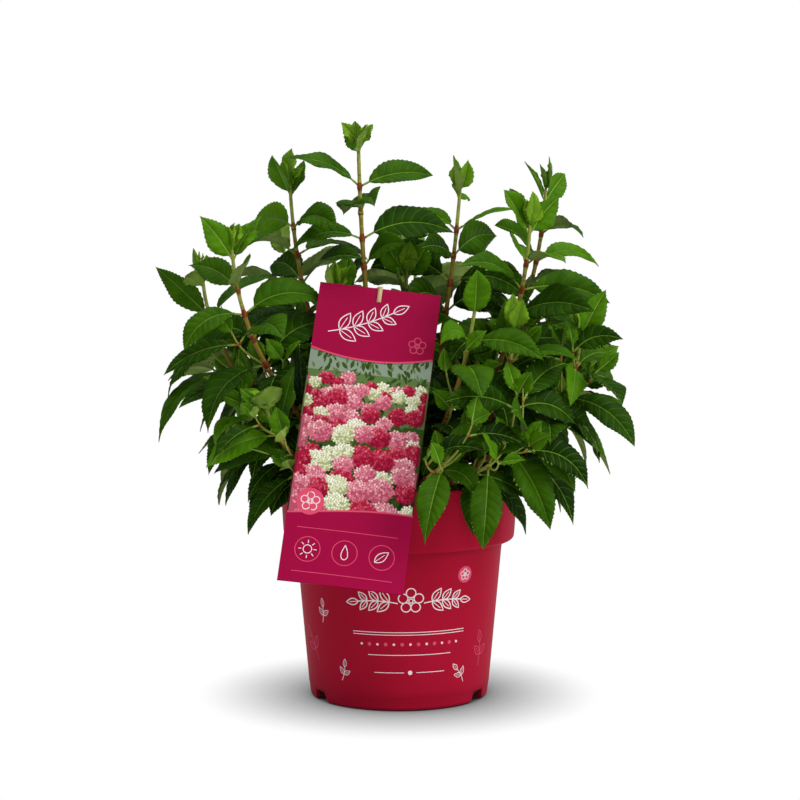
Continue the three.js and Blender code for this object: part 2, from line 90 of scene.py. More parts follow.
def mesh_piece(name, points, faces, materials, slots=None, smooth=True):
    """A mesh object from points in millimetres, with a material number for each face."""
    mesh = bpy.data.meshes.new(name)
    mesh.from_pydata((np.asarray(points, float) * MM).tolist(), [], faces)
    for one in materials:
        mesh.materials.append(one)
    if slots is not None:
        mesh.polygons.foreach_set("material_index", np.asarray(slots, np.int32))
    mesh.polygons.foreach_set("use_smooth", np.full(len(mesh.polygons), smooth))
    mesh.update()
    made = bpy.data.objects.new(name, mesh)
    bpy.context.scene.collection.objects.link(made)
    return made


def glow(tree, given):
    """The full strength of a light as the camera sees it, and a share of it elsewhere."""
    ray = node(tree, "ShaderNodeLightPath")
    strength = node(tree, "ShaderNodeMapRange", {"To Min": given, "To Max": 1.0},
                    {"Value": ray.outputs["Is Camera Ray"]})
    return strength.outputs["Result"]


def floor_with_painted_shadow():
    """White floor that glows evenly, with a painted contact shadow: ambient occlusion darkens its
    glow close round the pot.
    """
    made = material("glowing_floor_painted_shadow", "#000000", 1.0, sheen=0)
    tree = made.node_tree
    shader = tree.nodes["Principled BSDF"]
    # Painted shadow: the floor's glow is darkened where the pot and plant shut it in.
    painted_shadow_occlusion = node(tree, "ShaderNodeAmbientOcclusion",
                    {"samples": 16, "Distance": PAINTED_SHADOW_REACH * MM})
    painted_shadow = node(tree, "ShaderNodeGamma", {"Gamma": PAINTED_SHADOW_DEPTH},
                  {"Color": painted_shadow_occlusion.outputs["Color"]})
    tree.links.new(painted_shadow.outputs["Color"], shader.inputs["Emission Color"])
    tree.links.new(glow(tree, FLOOR_GLOW), shader.inputs["Emission Strength"])
    return made


camera = bpy.data.objects.new("camera", bpy.data.cameras.new("camera"))
camera.data.sensor_width = SENSOR_MM
camera.data.lens = FOCAL_PIXELS / PICTURE_PIXELS * SENSOR_MM
camera.data.shift_x = 1 / PICTURE_PIXELS
camera.data.clip_end = 100
camera.location = (0, -CAMERA_DISTANCE, CAMERA_HEIGHT)
camera.rotation_euler = (math.pi / 2 - CAMERA_PITCH, 0, 0)
bpy.context.scene.collection.objects.link(camera)
bpy.context.scene.camera = camera

corners = ((-1, -1), (1, -1), (1, 1), (-1, 1))
# The floor glows evenly, with a painted contact shadow round the pot.
floor = mesh_piece(
    "floor",
    [(x * FLOOR_MM, y * FLOOR_MM, -FLOOR_DROP) for x, y in corners],
    [(0, 1, 2, 3)],
    [floor_with_painted_shadow()],
)

# Softboxes as wide suns, which light the floor evenly: name, direction, width and strength.
LAMPS = (
    ("key", (1.2, -0.9, 1.0), 40, 1.85),
    ("top", (0.0, 0.0, 1.0), 80, 2.0),
    ("fill", (-1.1, -0.9, 0.4), 60, 0.1),
)
for name, toward, width, strength in LAMPS:
    lamp = bpy.data.lights.new(name, "SUN")
    lamp.angle = math.radians(width)
    lamp.energy = strength
    held = bpy.data.objects.new(name, lamp)
    held.rotation_euler = Vector(toward).to_track_quat("Z", "Y").to_euler()
    bpy.context.scene.collection.objects.link(held)

# The backdrop is white to look at, and gives less light than it shows.
world = bpy.data.worlds.new("studio")
world.use_nodes = True
backdrop = world.node_tree.nodes["Background"]
backdrop.inputs["Color"].default_value = (1, 1, 1, 1)
world.node_tree.links.new(glow(world.node_tree, BACKDROP_GLOW), backdrop.inputs["Strength"])
bpy.context.scene.world = world
bpy.context.scene.view_settings.view_transform = "Standard"

# Nursery pot: one thin thermoformed shell of polypropylene in crimson. A tapering body that
# carries the print, with drain slots cut in its foot, under a tall band that steps out.
POT_HEIGHT = 174
RIM_RADIUS = 95
COLLAR_FOOT_Z = 126
COLLAR_FOOT_RADIUS = 92.2
BODY_TOP_RADIUS = 82.6
BASE_RADIUS = 71.3
WALL = 2
POT_FLOOR = 3
# Round edges by their radius: the foot's heel and the band's lower edge, the hollow under
# the band, and the rim.
HEEL = 3.2
UNDERCUT = 1.4
LIP = 1.3
NOTCH = {"width": 19, "top": 15, "height": 9, "corner": 3, "angles": (60, 180, 300)}
POT_FLATS = 160
FILM_EDGE_Z = 10.5  # the printed film on the body starts this far up
FILM = 0.18


def ring_quads(rings, around, first=0):
    """Quads between neighbouring rings of points, which are numbered on from the first."""
    for ring in range(rings - 1):
        for k in range(around):
            a = first + ring * around + k
            b = first + ring * around + (k + 1) % around
            yield a, b, b + around, a + around


def revolve(profile, around):
    """Points and faces of a profile (radius, height) turned about Z, ends on the axis."""
    points = [(0, 0, profile[0][1])]
    angles = [2 * math.pi * k / around for k in range(around)]
    for radius, z in profile[1:-1]:
        points += [(radius * math.cos(a), radius * math.sin(a), z) for a in angles]
    points.append((0, 0, profile[-1][1]))
    faces = [(0, 1 + (k + 1) % around, 1 + k) for k in range(around)]
    faces += ring_quads(len(profile) - 2, around, first=1)
    top = len(points) - 1
    last = top - around
    faces += [(last + k, last + (k + 1) % around, top) for k in range(around)]
    return points, faces


def arc(centre, radius, start, end, steps):
    """Points on an arc of a profile, angles in degrees."""
    angles = [math.radians(start + (end - start) * k / steps) for k in range(steps + 1)]
    return [(centre[0] + radius * math.cos(a), centre[1] + radius * math.sin(a)) for a in angles]


def body_radius(z):
    """Outer radius of the tapering body at a height."""
    return BASE_RADIUS + (BODY_TOP_RADIUS - BASE_RADIUS) * z / COLLAR_FOOT_Z


def collar_radius(z):
    """Outer radius of the band under the rim at a height."""
    share = (z - COLLAR_FOOT_Z) / (POT_HEIGHT - COLLAR_FOOT_Z)
    return COLLAR_FOOT_RADIUS + (RIM_RADIUS - COLLAR_FOOT_RADIUS) * share


def pot_profile():
    """The pot's section from the middle of its underside round to the inside floor."""
    heel = arc((BASE_RADIUS - HEEL, HEEL), HEEL, -90, 0, 6)
    film = [(body_radius(FILM_EDGE_Z), FILM_EDGE_Z)]
    film += [(body_radius(z) + FILM, z) for z in (FILM_EDGE_Z + 0.3, *range(16, 122, 10))]
    under = arc((BODY_TOP_RADIUS + 1.6, COLLAR_FOOT_Z - UNDERCUT), UNDERCUT, 180, 90, 3)
    shoulder = arc((COLLAR_FOOT_RADIUS - HEEL, COLLAR_FOOT_Z + HEEL), HEEL, -90, 0, 6)
    collar = [(collar_radius(z), z) for z in range(COLLAR_FOOT_Z + 8, POT_HEIGHT - 3, 6)]
    lip = arc((RIM_RADIUS - LIP, POT_HEIGHT - LIP), LIP, 0, 180, 8)
    inside = [
        (COLLAR_FOOT_RADIUS - WALL, COLLAR_FOOT_Z + 5),
        (COLLAR_FOOT_RADIUS - WALL - 2.2, COLLAR_FOOT_Z + WALL),
        (BODY_TOP_RADIUS - WALL, COLLAR_FOOT_Z + WALL),
        (BASE_RADIUS - WALL, POT_FLOOR + 2.5),
        (BASE_RADIUS - WALL - 2.5, POT_FLOOR),
    ]
    return [(0, 0), *heel, *film, *under, *shoulder, *collar, *lip, *inside, (0, POT_FLOOR)]


def notch_cutter(angle):
    """The block that a drain slot takes out of the foot of the pot."""
    half, top, corner = NOTCH["width"] / 2, NOTCH["top"] / 2, NOTCH["corner"]
    side = [(half + 0.3, -1), *arc((top - corner, NOTCH["height"] - corner), corner, 0, 90, 4)]
    outline = side + [(-x, z) for x, z in reversed(side)]
    count = len(outline)
    c, s = math.cos(math.radians(angle - 90)), math.sin(math.radians(angle - 90))
    points = [
        (depth * c - x * s, depth * s + x * c, z)
        for depth in (BASE_RADIUS - 9, BASE_RADIUS + 6) for x, z in outline
    ]
    faces = [tuple(range(count - 1, -1, -1)), tuple(range(count, 2 * count))]
    faces += ring_quads(2, count)
    return mesh_piece("cutter", points, faces, [], smooth=False)


def cut(made, cutter):
    """Takes the cutter out of a piece and removes it."""
    tool = made.modifiers.new("cut", "BOOLEAN")
    tool.operation = "DIFFERENCE"
    tool.solver = "EXACT"
    tool.object = cutter
    view = bpy.context.evaluated_depsgraph_get()
    done = bpy.data.meshes.new_from_object(made.evaluated_get(view))
    made.modifiers.clear()
    made.data = done
    bpy.data.objects.remove(cutter)


def mottle(made, pattern, dark, light, ends, relief, bump):
    """Colours a finish from dark to light where one pattern rises between two values, and
    raises another one as relief, by the settings of its bump."""
    tree = made.node_tree
    shader = tree.nodes["Principled BSDF"]
    tone = node(tree, "ShaderNodeValToRGB", {}, {"Fac": pattern})
    for stop, place, colour in zip(tone.color_ramp.elements, ends, (dark, light)):
        stop.position, stop.color = place, linear(colour)
    raised = node(tree, "ShaderNodeBump", bump, {"Height": relief})
    tree.links.new(tone.outputs["Color"], shader.inputs["Base Color"])
    tree.links.new(raised.outputs["Normal"], shader.inputs["Normal"])


def moulded_polypropylene():
    """Thermoformed polypropylene, dyed through: a satin skin with a faint orange-peel."""
    made = material("moulded_polypropylene", "#a0102a", 0.5, 1.49, 0.03)
    tree = made.node_tree
    place = node(tree, "ShaderNodeTexCoord").outputs["Object"]
    cloud = node(tree, "ShaderNodeTexNoise", {"Scale": 1 / (45 * MM), "Detail": 4.0},
                 {"Vector": place})
    peel = node(tree, "ShaderNodeTexNoise", {"Scale": 1 / (1.2 * MM), "Detail": 3.0},
                {"Vector": place})
    mottle(made, cloud.outputs["Fac"], "#a0102a", "#ad1433", (0, 1),
           peel.outputs["Fac"], {"Strength": 0.15, "Distance": 0.2 * MM})
    return made


pot_points, pot_faces = revolve(pot_profile(), POT_FLATS)
pot_skin = mesh_piece("nursery_pot", pot_points, pot_faces, [moulded_polypropylene()])
for notch_angle in NOTCH["angles"]:
    cut(pot_skin, notch_cutter(notch_angle))
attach(pot_skin, "root")
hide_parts("pot")

# Print on the pot: white and pink line art on the film that wraps the body, the same on
# the back. It is generic: a garland of leaves, rules, dots and loose sprigs.
PRINT_LIFT = 0.06
LINE_WIDE = 0.85
LINE_FINE = 0.55
PRINT_MIDDLE = 9  # the middle of the design, to the right of the pot's middle
GARLAND_Z = 88
RULES = ((63, 46), (61, 46), (45, 34))  # height and half length of each
DOTS_Z = 53.5
SEAL = (53, 106)
LAST_RULE_Z = 31
# Loose sprigs: place, angle, size, and white or pink ink.
LOOSE_SPRIGS = (
    (-68, 66, 70, 12, 0),
    (-78, 34, 105, 19, 1),
    (-50, 22, 60, 11, 0),
    (58, 20, 110, 12, 0),
    (76, 30, 75, 18, 1),
)


class Drawing:
    """Flat line art and filled shapes, with an ink number for each face. A point is kept as
    its place and the layer of ink that it lies on."""

    def __init__(self):
        self.points, self.faces, self.inks = [], [], []
        self.layer = 0

    def add(self, points):
        start = len(self.points)
        self.points += [(*p, self.layer) for p in points]
        return start

    def fill(self, outline, ink):
        """A filled shape without hollows in its outline, seen from its middle."""
        start = self.add([np.mean(outline, axis=0), *outline])
        count = len(outline)
        self.faces += [(start, start + 1 + k, start + 1 + (k + 1) % count) for k in range(count)]
        self.inks += [ink] * count

    def line(self, path, width, ink, closed=False):
        """A line of one width along a path."""
        path = np.asarray(path, float)
        after = np.roll(path, -1, axis=0) if closed else np.vstack([path[1:], path[-1:]])
        before = np.roll(path, 1, axis=0) if closed else np.vstack([path[:1], path[:-1]])
        way = unit(after - before)
        side = np.stack([-way[:, 1], way[:, 0]], -1) * width / 2
        start, count = self.add([*(path + side), *(path - side)]), len(path)
        for k in range(count if closed else count - 1):
            n = (k + 1) % count
            self.faces.append((start + k, start + count + k, start + count + n, start + n))
            self.inks.append(ink)

    def ring(self, centre, radius, width, ink):
        self.line(circle(centre, radius, 40), width, ink, closed=True)

    def leaf(self, base, angle, length, width, ink):
        """A leaf in outline with its midrib."""
        t = np.linspace(0, 1, 12)
        half = length * 0.24 * np.sin(math.pi * t ** 0.85)
        self.line(turned(lens(t * length, half), base, angle), width, ink, closed=True)
        rib = np.stack([np.linspace(0, 0.72 * length, 6), np.zeros(6)], -1)
        self.line(turned(rib, base, angle), width * 0.7, ink)

    def sprig(self, base, angle, length, pairs, leaf, width, ink, bend=25):
        """A curved stem with pairs of leaves and one at its tip."""
        t = np.linspace(0, 1, 16)
        curve = math.radians(bend)
        stem = np.stack([length * t, length * t ** 2 * math.tan(curve) / 2], -1)
        self.line(turned(stem, base, angle), width, ink)
        for k in range(pairs):
            share = (k + 0.8) / (pairs + 0.6)
            foot = np.array([length * share, length * share ** 2 * math.tan(curve) / 2])
            way = math.degrees(math.atan(share * math.tan(curve)))
            size = leaf * (1 - 0.35 * share)
            for side in (-1, 1):
                place = turned([foot], base, angle)[0]
                self.leaf(place, angle + way + side * 48, size, width, ink)
        tip = turned([stem[-1]], base, angle)[0]
        self.leaf(tip, angle + bend, leaf * 0.8, width, ink)

    def blossom(self, centre, radius, width, ink):
        """Five round petals about a small ring."""
        for k in range(5):
            angle = math.radians(90 + 72 * k)
            middle = centre + 0.62 * radius * np.array((math.cos(angle), math.sin(angle)))
            self.ring(middle, radius * 0.36, width, ink)
        self.ring(centre, radius * 0.16, width, ink)


def unit(v):
    """Vectors at length one."""
    v = np.asarray(v, float)
    return v / np.maximum(np.linalg.norm(v, axis=-1, keepdims=True), 1e-12)


def lens(along, half):
    """A leaf's outline from its half widths along it, pointed at both ends."""
    there, back = np.stack([along, half], -1), np.stack([along, -half], -1)
    return np.vstack([there, back[-2:0:-1]])


def circle(centre, radius, steps):
    angle = 2 * math.pi * np.arange(steps) / steps
    return np.stack([centre[0] + radius * np.cos(angle), centre[1] + radius * np.sin(angle)], -1)


def turned(points, base, angle):
    """Flat points turned about the origin and set on a base."""
    c, s = math.cos(math.radians(angle)), math.sin(math.radians(angle))
    return np.asarray(points, float) @ np.array([[c, s], [-s, c]]) + base


def on_pot(drawing, facing):
    """Wraps a drawing round the body, its middle at an angle about the pot."""
    flat = np.array(drawing.points)
    radius = body_radius(flat[:, 1]) + FILM + PRINT_LIFT + flat[:, 2]
    angle = math.radians(facing) + flat[:, 0] / body_radius(70)
    return np.stack([radius * np.cos(angle), radius * np.sin(angle), flat[:, 1]], -1)


def pot_drawing():
    """White ink is number 0 and pink is number 1."""
    art = Drawing()
    middle = PRINT_MIDDLE
    art.blossom((middle, GARLAND_Z), 10, LINE_WIDE, 0)
    for side, angle in ((1, 12), (-1, 168)):
        foot = (middle + 10 * side, GARLAND_Z - 2)
        art.sprig(foot, angle, 30, 3, 13, LINE_WIDE, 0, bend=-20 * side)
    for z, reach in RULES:
        art.line([(middle + reach * k / 12, z) for k in range(-12, 13)], LINE_FINE, 0)
    for k in range(-6, 7):
        art.fill(circle((middle + 6.5 * k, DOTS_Z), 1.5 if k % 2 else 1.0, 12), k % 2)
    for x, z, angle, size, ink in LOOSE_SPRIGS:
        art.sprig((x, z), angle, size, 1, size * 0.75, LINE_FINE, ink)
    art.fill(circle(SEAL, 6.5, 28), 1)
    art.layer = PRINT_LIFT
    art.blossom(SEAL, 4.4, LINE_FINE, 0)
    art.layer = 0
    art.fill(circle((middle, LAST_RULE_Z), 1.8, 16), 0)
    for side in (-1, 1):
        rule = [(middle + side * (5 + 3 * k), LAST_RULE_Z) for k in range(9)]
        art.line(rule, LINE_FINE, 0)
    return art


def printed_ink(made, screen, detail, strength):
    """Ink is one even colour, a few hundredths of a millimetre thick, in which the screen
    of the print shows as a faint grain."""
    tree = made.node_tree
    place = node(tree, "ShaderNodeTexCoord").outputs["Object"]
    grain = node(tree, "ShaderNodeTexNoise", {"Scale": 1 / (screen * MM), "Detail": detail},
                 {"Vector": place})
    bump = node(tree, "ShaderNodeBump", {"Strength": strength, "Distance": 0.05 * MM},
                {"Height": grain.outputs["Fac"]})
    tree.links.new(bump.outputs["Normal"], tree.nodes["Principled BSDF"].inputs["Normal"])
    return made


def screen_ink(name, colour):
    """Screen ink on film: an even matt coat."""
    return printed_ink(material(name, colour, 0.5, 1.5, 0.04), 0.6, 2.0, 0.1)


art = pot_drawing()
print_points = np.concatenate([on_pot(art, -90), on_pot(art, 90)])
print_faces = art.faces + [tuple(v + len(art.points) for v in face) for face in art.faces]
pot_print = mesh_piece(
    "pot_print",
    print_points,
    print_faces,
    [screen_ink("white_screen_ink", "#efdfe2"), screen_ink("pink_screen_ink", "#d9506f")],
    art.inks * 2,
    smooth=False,
)
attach(pot_print, "root")

# Potting soil: peat and fine bark fibre, pressed by hand and loose on top, filling the pot
# to a little under its rim.
SOIL_TOP = 157
GAP = 0.3
SOIL_RINGS = 34
SOIL_FLATS = 90
CRUMBS = 1100
CRUMB_SEED = 11
CRUMB_SIZES = (0.5, 1.6)  # the smallest, and how much more the largest has
CRUMB_LONGER = 2.4
CHIPS = 0.2  # share of the crumbs that are bark
BALL = 1.9  # radius of the ball of twenty faces that a crumb is made from
SOIL_RADIUS = collar_radius(SOIL_TOP) - WALL - GAP


def soil_height(x, y):
    """Lumps of two sizes on the top of the soil."""
    lumps = np.sin(x / 9.1 + 1.3) * np.cos(y / 7.7) + 0.6 * np.sin(x / 3.7 - y / 4.3)
    return 0.9 * lumps + 0.5 * np.sin(x / 1.9) * np.sin(y / 2.3 + 2)


def soil_mesh(random):
    """The lumpy top with its sides down to the pot's floor, and crumbs half sunk in it."""
    radii = np.linspace(0.5, SOIL_RADIUS - 1, SOIL_RINGS)
    angles = np.linspace(0, 2 * math.pi, SOIL_FLATS, endpoint=False)
    x, y = np.outer(radii, np.cos(angles)), np.outer(radii, np.sin(angles))
    top = np.stack([x, y, SOIL_TOP + soil_height(x, y)], -1).reshape(-1, 3)
    step = COLLAR_FOOT_Z + WALL + GAP
    skirt = [
        (SOIL_RADIUS, SOIL_TOP - 2),
        (COLLAR_FOOT_RADIUS - WALL - GAP - 0.2, COLLAR_FOOT_Z + 5),
        (COLLAR_FOOT_RADIUS - WALL - 2.6, step),
        (BODY_TOP_RADIUS - WALL - GAP, step),
        (BASE_RADIUS - WALL - GAP, POT_FLOOR + 3),
        (BASE_RADIUS - WALL - 3, POT_FLOOR + GAP),
    ]
    sides = [(r * math.cos(a), r * math.sin(a), z) for r, z in skirt for a in angles]
    points = [top, np.array(sides)]
    count = len(top) + len(sides)
    faces = [tuple(range(SOIL_FLATS))]
    faces += [(a, d, c, b) for a, b, c, d in ring_quads(SOIL_RINGS + len(skirt), SOIL_FLATS)]
    faces.append(tuple(range(count - 1, count - 1 - SOIL_FLATS, -1)))
    slots = [0] * len(faces)
    ball = np.array([(s, t * (1 + 5 ** 0.5) / 2, 0) for s in (-1, 1) for t in (-1, 1)])
    ball = np.concatenate([np.roll(ball, k, axis=1) for k in range(3)])
    ball_faces = icosahedron_faces(ball)
    for _ in range(CRUMBS):
        radius = SOIL_RADIUS * 0.97 * math.sqrt(random.random())
        angle = 2 * math.pi * random.random()
        x, y = radius * math.cos(angle), radius * math.sin(angle)
        size = CRUMB_SIZES[0] + CRUMB_SIZES[1] * random.random() ** 2.5
        stretch = np.array([1 + CRUMB_LONGER * random.random() ** 3, 1, 0.7]) * size / BALL
        crumb = (ball * stretch * random.uniform(0.8, 1.2, ball.shape)) @ turn_matrix(random)
        points.append(crumb + (x, y, SOIL_TOP + soil_height(x, y) + 0.3 * size))
        faces += [tuple(v + count for v in face) for face in ball_faces]
        slots += [1 if random.random() < 1 - CHIPS else 2] * len(ball_faces)
        count += len(ball)
    return np.concatenate(points), faces, slots


def icosahedron_faces(ball):
    """The twenty faces between the corners that lie nearest each other, turned outward."""
    faces = []
    for a in range(12):
        for b in range(a + 1, 12):
            for c in range(b + 1, 12):
                sides = [np.linalg.norm(ball[i] - ball[j]) for i, j in ((a, b), (b, c), (c, a))]
                if max(sides) > 2.01:
                    continue
                outward = np.dot(np.cross(ball[b] - ball[a], ball[c] - ball[a]), ball[a]) > 0
                faces.append((a, b, c) if outward else (a, c, b))
    return faces


def turn_matrix(random):
    """A turn about all three axes."""
    return np.array(Euler(random.uniform(0, 2 * math.pi, 3)).to_matrix())


def peat(name, dark, light, grain):
    """Moist peat and bark: no shine, mottled by fibre, with tones that a grain size parts."""
    made = material(name, dark, 0.95)
    tree = made.node_tree
    place = node(tree, "ShaderNodeTexCoord").outputs["Object"]
    fibre = node(tree, "ShaderNodeTexNoise", {"Scale": 1 / (grain * MM), "Detail": 5.0},
                 {"Vector": place})
    mottle(made, fibre.outputs["Fac"], dark, light, (0.35, 0.7),
           fibre.outputs["Fac"], {"Strength": 0.6, "Distance": 0.5 * MM})
    return made


soil_points, soil_faces, soil_slots = soil_mesh(np.random.default_rng(CRUMB_SEED))
soil = mesh_piece(
    "peat_soil",
    soil_points,
    soil_faces,
    [
        peat("moist_peat", "#1d130c", "#3c2a1c", 2.2),
        peat("peat_crumb", "#2a1b11", "#4c3524", 1.4),
        peat("bark_chip", "#4a3220", "#7a5a3c", 1.4),
    ],
    soil_slots,
)
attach(soil, "root")
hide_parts("potting_soil")

# Canes: woody shoots, smooth brown bark below and green wood above, with a swollen joint
# wherever a pair of leaves is borne. Each is one stem from the soil to its growing tip.
CANE_FOOT = 3  # radii
CANE_TIP = 1.35
TAPER = 0.8
STRAIGHT = 0.1  # share of its rise over which a stem leaves the soil upright
KNEE_REACH = 0.12  # how much of its spread the knee's control point lies further out
BARE = 0.3  # share of a stem below its leafy part
FIRST_LEAVES = BARE + 0.02
# How a stem grows: the share of its rise gained at the knee, the mean distance between
# pairs of leaves, the turn from one pair to the next, and where the first and last pairs
# sit. The pairs of a stem that hangs over the rim are twisted flat, towards the light.
UPRIGHT = {"knee": 0.36, "internode": 30, "turn": 90, "first": 0.35, "end": 0.92}
HANGING = {"knee": 0.9, "internode": 22, "turn": 35, "first": 0.9, "end": 1}
CROWDING = 0.8  # how the pairs draw together towards the tip
LEAF_LENGTH = 98
# The share of this that a leaf grows to, by its place f in the leafy part: a + b f + c f f.
LEAF_SIZES = (0.86, 0.55, -0.76)
# In degrees: how far a leaf spreads from its stem, and how far it bends down over its length.
SPREAD = {"low": 64, "less": 12, "per_hang": 0.45}
DROOP = {"low": 84, "less": 38, "steepest": -78}
YOUNG = (
    {"u": 0.962, "length": 42, "spread": 26, "droop": 6, "age": 0.1},
    {"u": 0.992, "length": 28, "spread": 12, "droop": -6, "age": 0},
)

# The stems: foot and tip in the pot's frame, the share of their spread gained at the knee,
# the turn of the first pair of leaves about the stem in degrees, the size of the leaves,
# and how much further than usual they hang, in degrees.
SHOOTS = [
    ("front_left", (-16, -14), (-129, -45, 356), 0.8, 25, 1, 0),
    ("far_left", (-20, 6), (-157, 10, 334), 0.82, 15, 1.05, 0),
    ("upper_left", (-10, 4), (-87, 12, 408), 0.78, 35, 1, 0),
    ("tallest", (-5, -5), (-32, -5, 441), 0.75, 20, 0.95, 0),
    ("upper_right", (6, 6), (49, 22, 404), 0.6, 60, 0.95, 0),
    ("right_of_middle", (16, -4), (102, -30, 376), 0.8, 20, 0.95, 0),
    ("rear_right", (14, 12), (119, 40, 404), 0.8, 30, 0.95, 0),
    ("front_middle", (6, -22), (58, -68, 312), 0.62, 75, 1, 0),
    ("front_right", (18, -16), (88, -58, 295), 0.85, 45, 0.95, 0),
    ("far_right", (25, -8), (140, -45, 294), 0.92, -20, 0.95, 0),
    ("low_right", (26, 3), (146, 8, 258), 0.8, 40, 0.9, 0),
    ("low_left", (-25, -6), (-122, -34, 246), 0.8, 75, 0.95, 0),
    ("middle", (-1, 1), (6, 20, 338), 0.8, 0, 0.9, 0),
    ("behind_card", (-14, -3), (-50, -2, 322), 0.75, 65, 0.9, 0),
    ("rear_middle", (2, 16), (14, 118, 352), 0.8, 30, 1, 0),
    ("rear_left", (-14, 15), (-96, 84, 356), 0.8, 10, 1, 0),
    ("rear_far_left", (-24, 15), (-138, 78, 268), 0.85, 70, 0.95, 0),
    ("rear_far_right", (22, 20), (128, 98, 292), 0.85, 25, 1, 0),
    ("low_rear", (0, 27), (8, 152, 258), 0.85, 45, 0.95, 0),
    ("low_front", (2, -30), (34, -116, 198), 0.8, -10, 1, 45),
    ("low_front_middle", (8, -37), (68, -108, 196), 0.8, 0, 1, 45),
    ("low_front_right", (14, -28), (94, -94, 216), 0.8, 50, 1, 20),
    ("low_front_left", (-24, -22), (-100, -84, 238), 0.8, 40, 0.9, 0),
    ("inner_right", (12, 2), (62, -4, 268), 0.8, 70, 0.9, 0),
]
STEM_SIDES = 12
STEM_STEP = 1.6
JOINT_SWELL = 0.42
JOINT_REACH = 2.6
RIDGES = (0.045, 0.03)  # unevenness of the bark, along the stem and from ring to ring
BARK_SEED = 500
# The barks from the foot up and at the joints: two colours, roughness and relief.
BARKS = {
    "brown_bark": ("#3a2110", "#5c3a1f", 0.75, 0.7),
    "tan_bark": ("#74461a", "#98662e", 0.7, 0.5),
    "ripening_wood": ("#846c26", "#a28c40", 0.6, 0.3),
    "green_wood": ("#848f38", "#a4aa54", 0.55, 0.2),
    "red_joint": ("#6a3216", "#93542c", 0.6, 0.4),
}
BARK = {name: number for number, name in enumerate(BARKS)}
# Shares of a stem where one bark gives way to the next, and how blurred that is. Below the
# last two shares a joint is red, and the bark beside it tan.
BARK_ENDS = (0.2, 0.48, 0.82)
BARK_BLUR = 0.05
RED_HIGHEST = 0.93
TAN_HIGHEST = 0.6
RED_REACH = 3.2  # from the joint along the stem
TAN_REACH = 6


def curve_place(controls, t):
    """Points on a curve with any number of control points."""
    t = np.asarray(t, float)[..., None]
    level = [np.asarray(c, float) for c in controls]
    while len(level) > 1:
        level = [a * (1 - t) + b * t for a, b in zip(level, level[1:])]
    return level[0]


def curve_way(controls, t):
    """Unit directions along the same curve."""
    steps = [np.subtract(b, a) for a, b in zip(controls, controls[1:])]
    return unit(curve_place(steps, t))


def stem_curve(foot, tip, knee, hang):
    """A stem leaves the soil upright, leans out to its knee and turns up again to its tip."""
    soil = SOIL_TOP + GAP
    start, end = np.array([*foot, soil]), np.array(tip, float)
    rise = end[2] - soil
    bend = start + (end - start) * (knee + KNEE_REACH)
    bend[2] = soil + (HANGING if hang else UPRIGHT)["knee"] * rise
    return [start, start + (0, 0, STRAIGHT * rise), bend, end]


class Stem:
    """A stem's curve, measured so that it can be asked for places by share of its length."""

    def __init__(self, name, curve, turn, size, hang=0):
        self.name, self.turn, self.size, self.hang = name, turn, size, hang
        self.curve = curve
        self.t = np.linspace(0, 1, 201)
        steps = np.linalg.norm(np.diff(curve_place(self.curve, self.t), axis=0), axis=1)
        self.run = np.concatenate([[0], np.cumsum(steps)])
        self.length = self.run[-1]

    def place(self, u):
        return curve_place(self.curve, np.interp(np.multiply(u, self.length), self.run, self.t))

    def way(self, u):
        return curve_way(self.curve, np.interp(np.multiply(u, self.length), self.run, self.t))


def stem_radius(u):
    """A stem's taper from its foot to its tip."""
    return CANE_FOOT + (CANE_TIP - CANE_FOOT) * np.power(u, TAPER)


def stem_rings(stem, shares, radii, sides):
    """Rings of points across a stem."""
    centres, along = stem.place(shares), stem.way(shares)
    along = np.where(np.asarray(shares)[:, None] == 0, (0.0, 0.0, 1.0), along)
    side = unit(np.cross((0.0, 1.0, 0.0), along))
    front = np.cross(along, side)
    angle = 2 * math.pi * np.arange(sides) / sides
    across = side[:, None] * np.cos(angle)[:, None] + front[:, None] * np.sin(angle)[:, None]
    return centres[:, None] + across * np.asarray(radii).reshape(len(shares), -1, 1)


def leaf_places(stem):
    """The leaves that a stem may carry, from its lowest pair to the young ones at its tip. A
    stem that hangs over the rim has no young ones."""
    habit = HANGING if stem.hang else UPRIGHT
    pairs = int(stem.length * (1 - BARE) / habit["internode"] + 0.5)
    places = []
    for k in range(pairs):
        f = ((k + habit["first"]) / pairs) ** CROWDING
        size = LEAF_SIZES[0] + LEAF_SIZES[1] * f + LEAF_SIZES[2] * f * f
        places.append({
            "u": FIRST_LEAVES + (habit["end"] - FIRST_LEAVES) * f,
            "length": LEAF_LENGTH * stem.size * size,
            "spread": SPREAD["low"] - SPREAD["less"] * f + SPREAD["per_hang"] * stem.hang,
            "droop": DROOP["low"] - DROOP["less"] * f + stem.hang,
            "azimuth": stem.turn + habit["turn"] * k,
            "age": 1 - f,
            "young": False,
        })
    if not stem.hang:
        for k, pair in enumerate(YOUNG):
            places.append({**pair, "azimuth": stem.turn + 90 * (pairs + k), "young": True})
    return places


